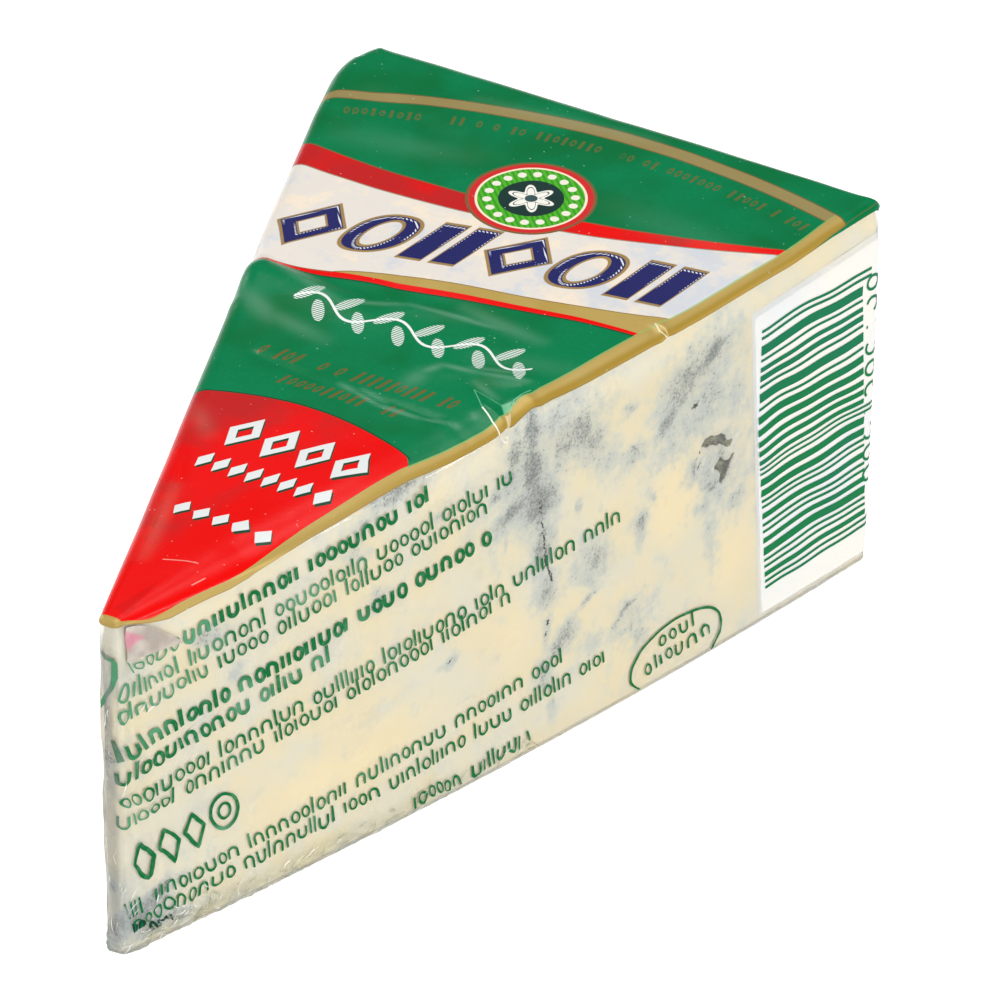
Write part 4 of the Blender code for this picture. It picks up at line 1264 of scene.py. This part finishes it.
sideMarks = {
    "green": ink(0, 104, 50),
    "fadedGreen": ink(98, 160, 124),
    "dark": ink(6, 62, 46),
    "fadedDark": ink(40, 84, 72),
    "lift": 0.02,
    "drift": 0.9,  # how far a mark moves with the loose film
    "lean": -0.15,
    # a draw below these makes a tall tick, a tick, a ring, an arch that opens down; above them, up
    "tall": 0.16,
    "tick": 0.36,
    "ring": 0.68,
    "archDown": 0.87,
    "tallBy": 1.42,
    "tickGap": 0.32,
    "groupGap": 0.85,
    "rows": (  # start along, height there, end along, height there, mark height, stroke
        (10.2, 28.9, 37.5, 31.9, 1.25, 0.40),
        (4.4, 28.2, 9.4, 28.8, 1.25, 0.20),
        (3.3, 25.9, 46.9, 29.6, 1.25, 0.24),
        (3.2, 23.9, 43.2, 27.7, 1.25, 0.24),
        (3.2, 20.1, 44.1, 24.5, 1.30, 0.42),
        (3.2, 17.7, 25.8, 20.4, 1.30, 0.36),
        (3.2, 15.0, 59.7, 19.7, 1.25, 0.24),
        (3.0, 13.0, 46.2, 17.3, 1.25, 0.24),
        (3.5, 3.9, 53.7, 8.0, 1.20, 0.24),
        (3.9, 2.3, 59.1, 5.6, 1.20, 0.24),
        (35.4, 0.7, 49.9, 1.3, 1.10, 0.26),
    ),
    "farRow": (30.0, 27.5, 82.0, 28.5),
    "farRowStep": (2.0, -2.3, -3.0, -2.3),
    "farStrokes": (0.40, 0.24, 0.24, 0.40, 0.24, 0.24),
    "lozenges": ((5.4, 8.9), (8.1, 9.32), (10.8, 9.74)),
    "lozengeStroke": 0.36,
    "lozengeHalf": (1.05, 1.8),
    "lozengeLean": 0.4,
    "squashedRows": ((3.6, 2.3, 5.0, 2.3, 0.7, 0.34), (5.7, 1.5, 8.5, 1.2, 0.7, 0.34)),
    # centre, reaches, lean, corners; then the stroke
    "rings": ((((14.0, 10.2), 1.35, 1.85, 0.3, 32), 0.34), (((14.0, 10.2), 0.55, 0.8, 0.3, 20), 0.26)),
    "bracket": ((1.35, 30.8), (1.6, 30.35), (2.0, 30.05), (2.5, 29.95), (2.9, 29.95), (3.0, 29.7),
                (2.95, 29.1), (2.75, 28.2), (2.4, 27.2), (2.0, 26.2), (1.65, 25.4), (1.4, 24.9)),
    "bracketStroke": (0.24, 0.5),
    "oval": ((68.35, 2.6), 6.1, 3.3, 0.05, 72),  # cut off by the foot
    "ovalFoot": 0.32,
    "ovalStroke": 0.27,
    "ovalRows": ((66.3, 3.7, 71.2, 4.1, 1.2, 0.24), (64.6, 1.6, 72.0, 2.2, 1.2, 0.24)),
}


def markRow(marks, row, rng, stretch=1.0):  # ticks, rings and arches in groups along a row
    start, startHeight, end, endHeight, tall, width = row
    slope = (endHeight - startHeight) / (end - start)
    spec, lean = sideMarks, sideMarks["lean"]
    where, left = start, int(rng.integers(4, 12))
    while where < end:
        base = startHeight + slope * (where - start)
        kind = rng.random()
        high = tall * (spec["tallBy"] if kind < spec["tall"] else 1.0)
        if kind < spec["tick"]:
            marks.stroke([(where, base), (where + lean * high, base + high)], width)
            step = width + spec["tickGap"]
        elif kind < spec["ring"]:
            half = tall * 0.40
            ring = ringPath((where + half * 0.8, base + tall * 0.5), half * 0.82, tall * 0.46, 0, 12)
            ring[:, 0] += (ring[:, 1] - base) * lean
            marks.stroke(ring, width * 0.9, closed=True)
            step = half * 1.7 + 0.34
        else:  # a stem with an arch, opening down or up
            half = tall * 0.36
            down = kind < spec["archDown"]
            turns = np.linspace(math.pi if down else -math.pi, 0, 9)
            arch = np.column_stack([half + half * np.cos(turns), tall * 0.6 + half * np.sin(turns)])
            if down:
                arch = np.vstack([[0, 0], arch, [2 * half, 0]])
            else:
                arch = np.vstack([[0, tall], arch - [0, tall * 0.2], [2 * half, tall]])
            arch[:, 0] += arch[:, 1] * lean
            marks.stroke(arch + [where, base], width)
            step = 2 * half + width + 0.3
        where += step * stretch
        left -= 1
        if left == 0:
            where += spec["groupGap"]
            left = int(rng.integers(3, 12))


def ringPath(centre, reachAlong, reachUp, lean, count=40):
    turns = np.linspace(0, 2 * math.pi, count, endpoint=False)
    c, s = math.cos(lean), math.sin(lean)
    u, v = reachAlong * np.cos(turns), reachUp * np.sin(turns)
    return np.column_stack([centre[0] + u * c - v * s, centre[1] + u * s + v * c])


def openLozenge(x, z):  # leaning, with points along its sides
    (wide, high), lean = sideMarks["lozengeHalf"], sideMarks["lozengeLean"]
    corners = np.array([(x + wide, z), (x - lean, z + high), (x - wide, z), (x + lean, z - high)])
    way = np.roll(corners, -1, axis=0) - corners
    path = corners[:, None] + way[:, None] * np.linspace(0, 1, 10, endpoint=False)[None, :, None]
    return path.reshape(-1, 2)


def makeSideMarks():
    rng = np.random.default_rng(7)
    spec = sideMarks
    green = printFinish("green marks", spec["green"], spec["fadedGreen"])
    right, left = Wall("right"), Wall("left")
    marks = Ink()
    for row in spec["rows"]:
        markRow(marks, row, rng)
    for along, height in spec["lozenges"]:
        marks.stroke(openLozenge(along, height), spec["lozengeStroke"], closed=True)
    for ring, width in spec["rings"]:
        marks.stroke(ringPath(*ring), width, closed=True)
    marks.stroke(spec["bracket"], np.linspace(*spec["bracketStroke"], len(spec["bracket"]))[:, None])
    oval = ringPath(*spec["oval"])
    oval = oval[oval[:, 1] > spec["ovalFoot"]]
    gapAt = int(np.argmax(np.linalg.norm(np.diff(oval, axis=0), axis=1))) + 1
    marks.stroke(np.roll(oval, -gapAt, axis=0), spec["ovalStroke"])
    for row in spec["ovalRows"]:
        markRow(marks, row, rng, 1.15)
    piece = marks.lay("sideMarks", right, spec["lift"], green, spec["drift"])
    settle(piece, "cheese_wedge")
    squashed = Ink()  # the first marks of the lowest rows, where the film is gathered
    for row in spec["squashedRows"]:
        markRow(squashed, row, rng, 0.8)
    dark = printFinish("dark marks", spec["dark"], spec["fadedDark"])
    piece = squashed.lay("squashedMarks", right, spec["lift"], dark, spec["drift"])
    settle(piece, "cheese_wedge")
    other = Ink()
    for number, width in enumerate(spec["farStrokes"]):
        ends = [first + step * number for first, step in zip(spec["farRow"], spec["farRowStep"])]
        markRow(other, (*ends, 1.25, width), rng)
    piece = other.lay("farSideMarks", left, spec["lift"], green, spec["drift"])
    settle(piece, "cheese_wedge")


folds = {  # painted shade of fine folds of the clear film, and painted glints on them
    "glint": ink(252, 252, 248),
    # painted shade on the sides of the folds
    "fold": ink(150, 154, 128),
    "placed": (  # places, width
        (((45.4, 34.85), (45.8, 34.2), (46.2, 33.85)), 0.12),
        (((46.15, 35.0), (46.2, 34.4), (46.2, 33.85)), 0.08),
        (((2.7, 23.1), (3.0, 23.9), (3.4, 24.25)), 0.26), (((5.1, 24.1), (5.5, 24.5), (5.8, 25.0)), 0.12),
        (((5.6, 23.8), (6.5, 24.15), (8.0, 24.4)), 0.13), (((8.1, 0.9), (8.35, 1.2), (8.55, 1.5)), 0.22),
        (((9.4, 1.3), (9.7, 1.6), (10.1, 1.8)), 0.16), (((26.2, 1.1), (26.7, 1.45), (27.1, 1.4)), 0.16),
        (((23.0, 1.4), (23.6, 1.75), (24.4, 1.8)), 0.14), (((20.3, 1.5), (20.6, 1.8), (21.2, 1.9)), 0.16),
        (((3.0, 5.6), (3.1, 6.4), (3.4, 7.0)), 0.12), (((3.6, 5.2), (4.0, 6.1), (4.4, 6.7)), 0.08),
    ),
    # from and to along, lowest and highest, how many, longest, widest, tint
    "scattered": (
        (3.2, 13.0, 0.3, 4.6, 14, 2.4, 0.11, "glint"), (3.2, 50.0, 0.3, 2.2, 34, 2.0, 0.09, "glint"),
        (3.2, 13.0, 0.4, 3.6, 16, 3.0, 0.50, "fold"), (3.2, 50.0, 0.4, 1.9, 40, 2.8, 0.42, "fold"),
        (1.2, 3.4, 0.6, 31.0, 12, 2.2, 0.10, "glint"), (3.4, 12.0, 20.0, 28.0, 5, 1.6, 0.07, "glint"),
    ),
}


def foldShadeAndGlintFinish(name, colour, share):
    line = Finish(name, Base_Color=colour, IOR=1.5, Roughness=0.25)
    uneven = line.noise(line.place(), 1100.0, 2.0)
    line.clear(share * line.steep(uneven, 0.3, 0.6))
    return line.material


def makeFoldShadeAndGlints():
    rng = np.random.default_rng(17)
    lines = {"glint": Ink(), "fold": Ink()}
    for path, width in folds["placed"]:
        lines["glint"].stroke(path, width * np.array([[0.3], [1.0], [0.4]]))
    t = np.linspace(-1, 1, 7)
    for first, last, low, high, many, longest, widest, tint in folds["scattered"]:
        for _ in range(many):
            along, height = rng.uniform(first, last), low + (high - low) * rng.random() ** 1.4
            half = longest / 2 * rng.uniform(0.3, 1)
            turn = rng.normal(0.5, 0.5) if first > 3 else rng.normal(1.45, 0.25)
            bow = rng.normal(0, 0.25) * half * (t * t - 1)
            path = np.column_stack([along + half * t * math.cos(turn) - bow * math.sin(turn),
                                    height + half * t * math.sin(turn) + bow * math.cos(turn)])
            path[:, 1] = np.maximum(path[:, 1], 0.3)
            lines[tint].stroke(path, (widest * rng.uniform(0.5, 1) * (1.05 - t * t))[:, None])
    right = Wall("right")
    for name, tint, lift, share in (("foldShadeLines", "fold", 0.03, 0.36), ("glints", "glint", 0.05, 0.85)):
        finish = foldShadeAndGlintFinish(name, folds[tint], share)
        settle(lines[tint].lay(name, right, lift, finish), "cheese_wedge")


panel = {  # white, round the back corner, with bars on the side
    "onSideTop": 17.9,
    "onSideBottom": 15.3,
    "onBack": 9.0,
    "bottom": 0.75,
    "topAtSide": 34.0,
    "topAtCorner": 35.3,
    "topAtBack": 34.0,
    "lift": 0.14,
    "edgeLift": -0.1,
    "warmWhite": ink(232, 229, 220),
    "coolWhite": ink(222, 224, 224),
    "barGreen": ink(0, 116, 62),
    "fadedGreen": ink(8, 112, 78),
    "barsTop": 32.2,
    "barsFoot": 3.5,
    "barStart": -16.6,  # along the side, from the corner, for the higher bars
    "barEnd": -2.5,
    "startShift": (22.0, 0.1),  # bars below this height start nearer the corner, by this slope
    "endShift": (30.0, 0.075),
    "longBars": (0, 1, 14, 15, 28, 29),
    "longer": 1.3,
    "waves": ((0.07, 0.9, 0.35), (0.10, 0.42, 0.6)),  # rise, turns along, turns from bar to bar
    "droop": (0.35, 2.2),  # of a bar's start, and its reach
    "asides": 11,  # plain marks beside the bars
    "asideTop": 30.4,
    "asidePitch": 2.3,
    "asideAlong": -1.05,
    "asideDrift": 0.07,
    "asideRing": (0.78, 0.72),
    "bars": (0.24, 0.24, 0.80, 0.22, 0.40, 0.50, 0.24, 0.80, 0.24, 0.66, 0.60, 0.50, 0.46, 0.40, 0.20,
             0.20, 0.62, 0.60, 0.24, 0.22, 0.50, 0.26, 0.24, 0.46, 0.70, 0.24, 0.24, 0.44, 0.24, 0.24),
    "gaps": (0.32, 0.52, 0.36, 0.50, 0.34, 0.36, 0.46, 0.42, 0.44, 0.40, 0.44, 0.36, 0.40, 0.28, 0.28,
             0.40, 0.42, 0.34, 0.30, 0.46, 0.40, 0.34, 0.44, 0.40, 0.34, 0.36, 0.40, 0.34, 0.34, 0.3),
}


class Corner(Wall):  # from the right side round onto the back, by the length from the corner
    def __init__(self):
        points = np.vstack([sides["right"], sides["back"][-2::-1]])
        total = lengthsAlong(points)
        keep = np.append(np.diff(total) > 1e-6, True)
        self.settleOn("right", points[keep], total[keep] - lengthsAlong(sides["right"])[-1])

    def loose(self, along, height):
        return 0.05 * (layeredNoise(along / 4.0 + 20, height / 6.0, 121) - 0.5)


def panelFinish():
    sheet = Finish("white panel", IOR=1.5)
    spot = sheet.place()
    broad = sheet.noise(spot, 90.0, 3.0)
    fine = sheet.noise(spot, 1300.0, 2.0)
    colour = sheet.mix(sheet.steep(broad, 0.4, 0.65), panel["warmWhite"], panel["coolWhite"])
    sheet.paint(Base_Color=colour, Roughness=0.26 + 0.1 * broad, Normal=sheet.bump(fine, 0.1, 0.0001))
    return sheet.material


def makePanel(corner):
    stretches = ((-1, -0.08, 60), (-0.07, 0.07, 21), (0.09, 1, 30))  # closest round the corner
    across = np.concatenate([np.linspace(*stretch) for stretch in stretches])
    share, level = np.meshgrid(across, np.linspace(0, 1, 70))
    onSide = panel["onSideBottom"] + (panel["onSideTop"] - panel["onSideBottom"]) * level
    end = np.where(share < 0, panel["topAtSide"], panel["topAtBack"])
    top = panel["topAtCorner"] + (end - panel["topAtCorner"]) * np.abs(share)
    height = panel["bottom"] + (top - panel["bottom"]) * level
    along = share * np.where(share < 0, onSide, panel["onBack"])
    held = smooth(np.minimum(1 - np.abs(share), 1 - level), 0, 0.03) * smooth(level, 0, 0.015)
    lift = panel["edgeLift"] + (panel["lift"] - panel["edgeLift"]) * held
    points = corner.at(along.ravel(), height.ravel(), lift.ravel())
    index = np.arange(along.size).reshape(along.shape)
    piece = makePiece("barPanel", points, gridFaces(index), panelFinish())
    settle(piece, "barcode_panel")


def makeBars(corner):
    bars = Ink()
    where = panel["barsTop"]
    (startHeight, startSlope), (endHeight, endSlope) = panel["startShift"], panel["endShift"]
    droop, droopReach = panel["droop"]
    spread = (panel["barsTop"] - panel["barsFoot"]) / (sum(panel["bars"]) + sum(panel["gaps"]))
    for number, (width, gap) in enumerate(zip(panel["bars"], panel["gaps"])):
        width, gap = width * spread, gap * spread
        where -= width / 2
        first = panel["barStart"] + max(startHeight - where, 0) * startSlope
        last = panel["barEnd"] + (endHeight - where) * endSlope
        last += panel["longer"] if number in panel["longBars"] else 0.0
        along = np.linspace(first, last, 60)
        wave = sum(rise * np.sin(along * turns + where * shifted) for rise, turns, shifted in panel["waves"])
        ends = droop * np.exp(-((along - first) / droopReach) ** 2)
        bars.stroke(np.column_stack([along, where + wave - ends]), width)
        where -= width / 2 + gap
    for number in range(panel["asides"]):  # rings, ticks and open rings
        low = panel["asideTop"] - panel["asidePitch"] * number
        middle = panel["asideAlong"] + panel["asideDrift"] * number
        ring = ringPath((middle, low), *panel["asideRing"], 0.0, 24)
        if number % 4 == 2:
            bars.stroke([(middle - 0.8, low), (middle + 0.8, low + 0.1)], 0.3)
        elif number % 4 == 0:
            bars.stroke(ring, 0.28, closed=True)
        else:
            bars.stroke(np.roll(ring, 5 * number, axis=0)[:17], 0.28)
    green = printFinish("bar green", panel["barGreen"], panel["fadedGreen"])
    settle(bars.lay("bars", corner, panel["lift"] + 0.04, green), "barcode_panel")


noseFold = {
    "start": 3.9, "end": 9.75, "top": 33.1, "tip": 29.3, "bottom": 29.7, "lift": 0.1,
    "grey": ink(180, 168, 158), "pink": ink(222, 116, 152), "pale": ink(202, 192, 180),
}


def foldFinish():
    sheet = Finish("folded film", IOR=1.5, Specular_IOR_Level=0.2)
    spec = noseFold
    place = sheet.field("foldPlace")
    spot = sheet.place()
    cloud = sheet.noise(spot, 420.0, 3.0)
    colour = sheet.mix(sheet.steep(cloud, 0.4, 0.65), spec["grey"], spec["pale"])
    wedge = sheet.steep(0.5 - place[0] * 1.25 - sheet.size(place[1] - 0.6) * 1.5, -0.06, 0.2)
    colour = sheet.mix(wedge * 0.65, colour, spec["pink"])
    sheet.paint(Base_Color=colour, Roughness=0.2 + 0.2 * cloud)
    sheet.clear(0.8 + 0.18 * sheet.steep(cloud, 0.35, 0.7))
    return sheet.material


def makeNoseFold():
    wall = Wall("right")
    spec = noseFold
    share, up = np.meshgrid(np.linspace(0, 1, 40), np.linspace(0, 1, 16))
    along = spec["start"] + (spec["end"] - spec["start"]) * share
    top = spec["top"] + (spec["tip"] - spec["top"]) * share ** 1.7
    bottom = spec["bottom"] + (spec["tip"] - 0.1 - spec["bottom"]) * share
    height = bottom + (top - bottom) * up
    crinkle = 0.08 * np.sin(up * 7 + share * 3) * (1 - share)
    points = wall.at(along.ravel(), height.ravel(), spec["lift"] + crinkle.ravel())
    index = np.arange(along.size).reshape(along.shape)
    piece = makePiece("noseFold", points, gridFaces(index), foldFinish(),
                      {"foldPlace": np.column_stack([share.ravel(), up.ravel(), np.zeros(share.size)])})
    settle(piece, "nose_fold")


makeCheese()
makeClearFilm()
makePrintedFilm()
makeSideMarks()
makeFoldShadeAndGlints()
backCorner = Corner()
makePanel(backCorner)
makeBars(backCorner)
makeNoseFold()

studio = {
    "floorSize": 6.0,
    "floorColour": (0.32, 0.32, 0.32, 1.0),
    "floorGlow": 0.92,
    "surroundings": 0.1,
    # where each soft light stands (metres), its side, its power
    "lights": (
        ("overhead", (0.1, 0.1, 1.5), 1.2, 15.5),
        ("frontRight", (1.15, -0.95, 0.75), 1.0, 12.0),
        ("rightStrip", (1.5, 0.3, 0.22), 0.3, 4.0),
        ("frontLeft", (-1.1, -0.9, 0.9), 0.8, 5.0),
        ("leftRear", (-1.3, 0.35, 0.5), 0.6, 5.0),
        ("highRear", (-0.5, 0.75, 1.5), 0.3, 3.0),
    ),
    "azimuth": 28.3, "elevation": 32.0, "roll": 0.72, "distance": 0.572,
    "target": (7.392, 8.104, 18.9),  # mm, in the frame
    "lens": 230.8,
}


def makeFloor():
    finish = Finish("pale floor", Base_Color=studio["floorColour"], Roughness=0.9, Specular_IOR_Level=0.1,
                    Emission_Color=(1, 1, 1, 1), Emission_Strength=studio["floorGlow"])
    half = studio["floorSize"] / 2
    mesh = bpy.data.meshes.new("floor")
    corners = [(-half, -half, 0), (half, -half, 0), (half, half, 0), (-half, half, 0)]
    mesh.from_pydata(corners, [], [(0, 1, 2, 3)])
    mesh.materials.append(finish.material)
    floor = bpy.data.objects.new("floor", mesh)
    bpy.context.scene.collection.objects.link(floor)


def makeLights():
    for name, place, side, power in studio["lights"]:
        light = bpy.data.lights.new(name, "AREA")
        light.shape = "SQUARE"
        light.size = side
        light.energy = power
        lamp = bpy.data.objects.new(name, light)
        lamp.location = place
        lamp.rotation_euler = (-Vector(place)).to_track_quat("-Z", "Y").to_euler()
        bpy.context.scene.collection.objects.link(lamp)
    world = bpy.data.worlds.new("surroundings")
    world.use_nodes = True
    world.node_tree.nodes["Background"].inputs["Color"].default_value = (1, 1, 1, 1)
    world.node_tree.nodes["Background"].inputs["Strength"].default_value = studio["surroundings"]
    bpy.context.scene.world = world


def makeCamera():
    a, e, r = (math.radians(studio[key]) for key in ("azimuth", "elevation", "roll"))
    back = Vector((math.sin(a) * math.cos(e), -math.cos(a) * math.cos(e), math.sin(e)))
    right = Vector((math.cos(a), math.sin(a), 0))
    up = back.cross(right)
    rolledRight = right * math.cos(r) + up * math.sin(r)
    rolledUp = up * math.cos(r) - right * math.sin(r)
    data = bpy.data.cameras.new("camera")
    data.lens = studio["lens"]
    data.sensor_width = 36.0
    camera = bpy.data.objects.new("camera", data)
    bpy.context.scene.collection.objects.link(camera)
    turned = Matrix((rolledRight, rolledUp, back)).transposed().to_4x4()
    target = Vector(studio["target"]) * mm
    camera.matrix_world = Matrix.Translation(target + back * studio["distance"]) @ turned
    bpy.context.scene.camera = camera


makeFloor()
makeLights()
makeCamera()
bpy.context.scene.view_settings.view_transform = "Standard"
print("floor, lights and camera set")
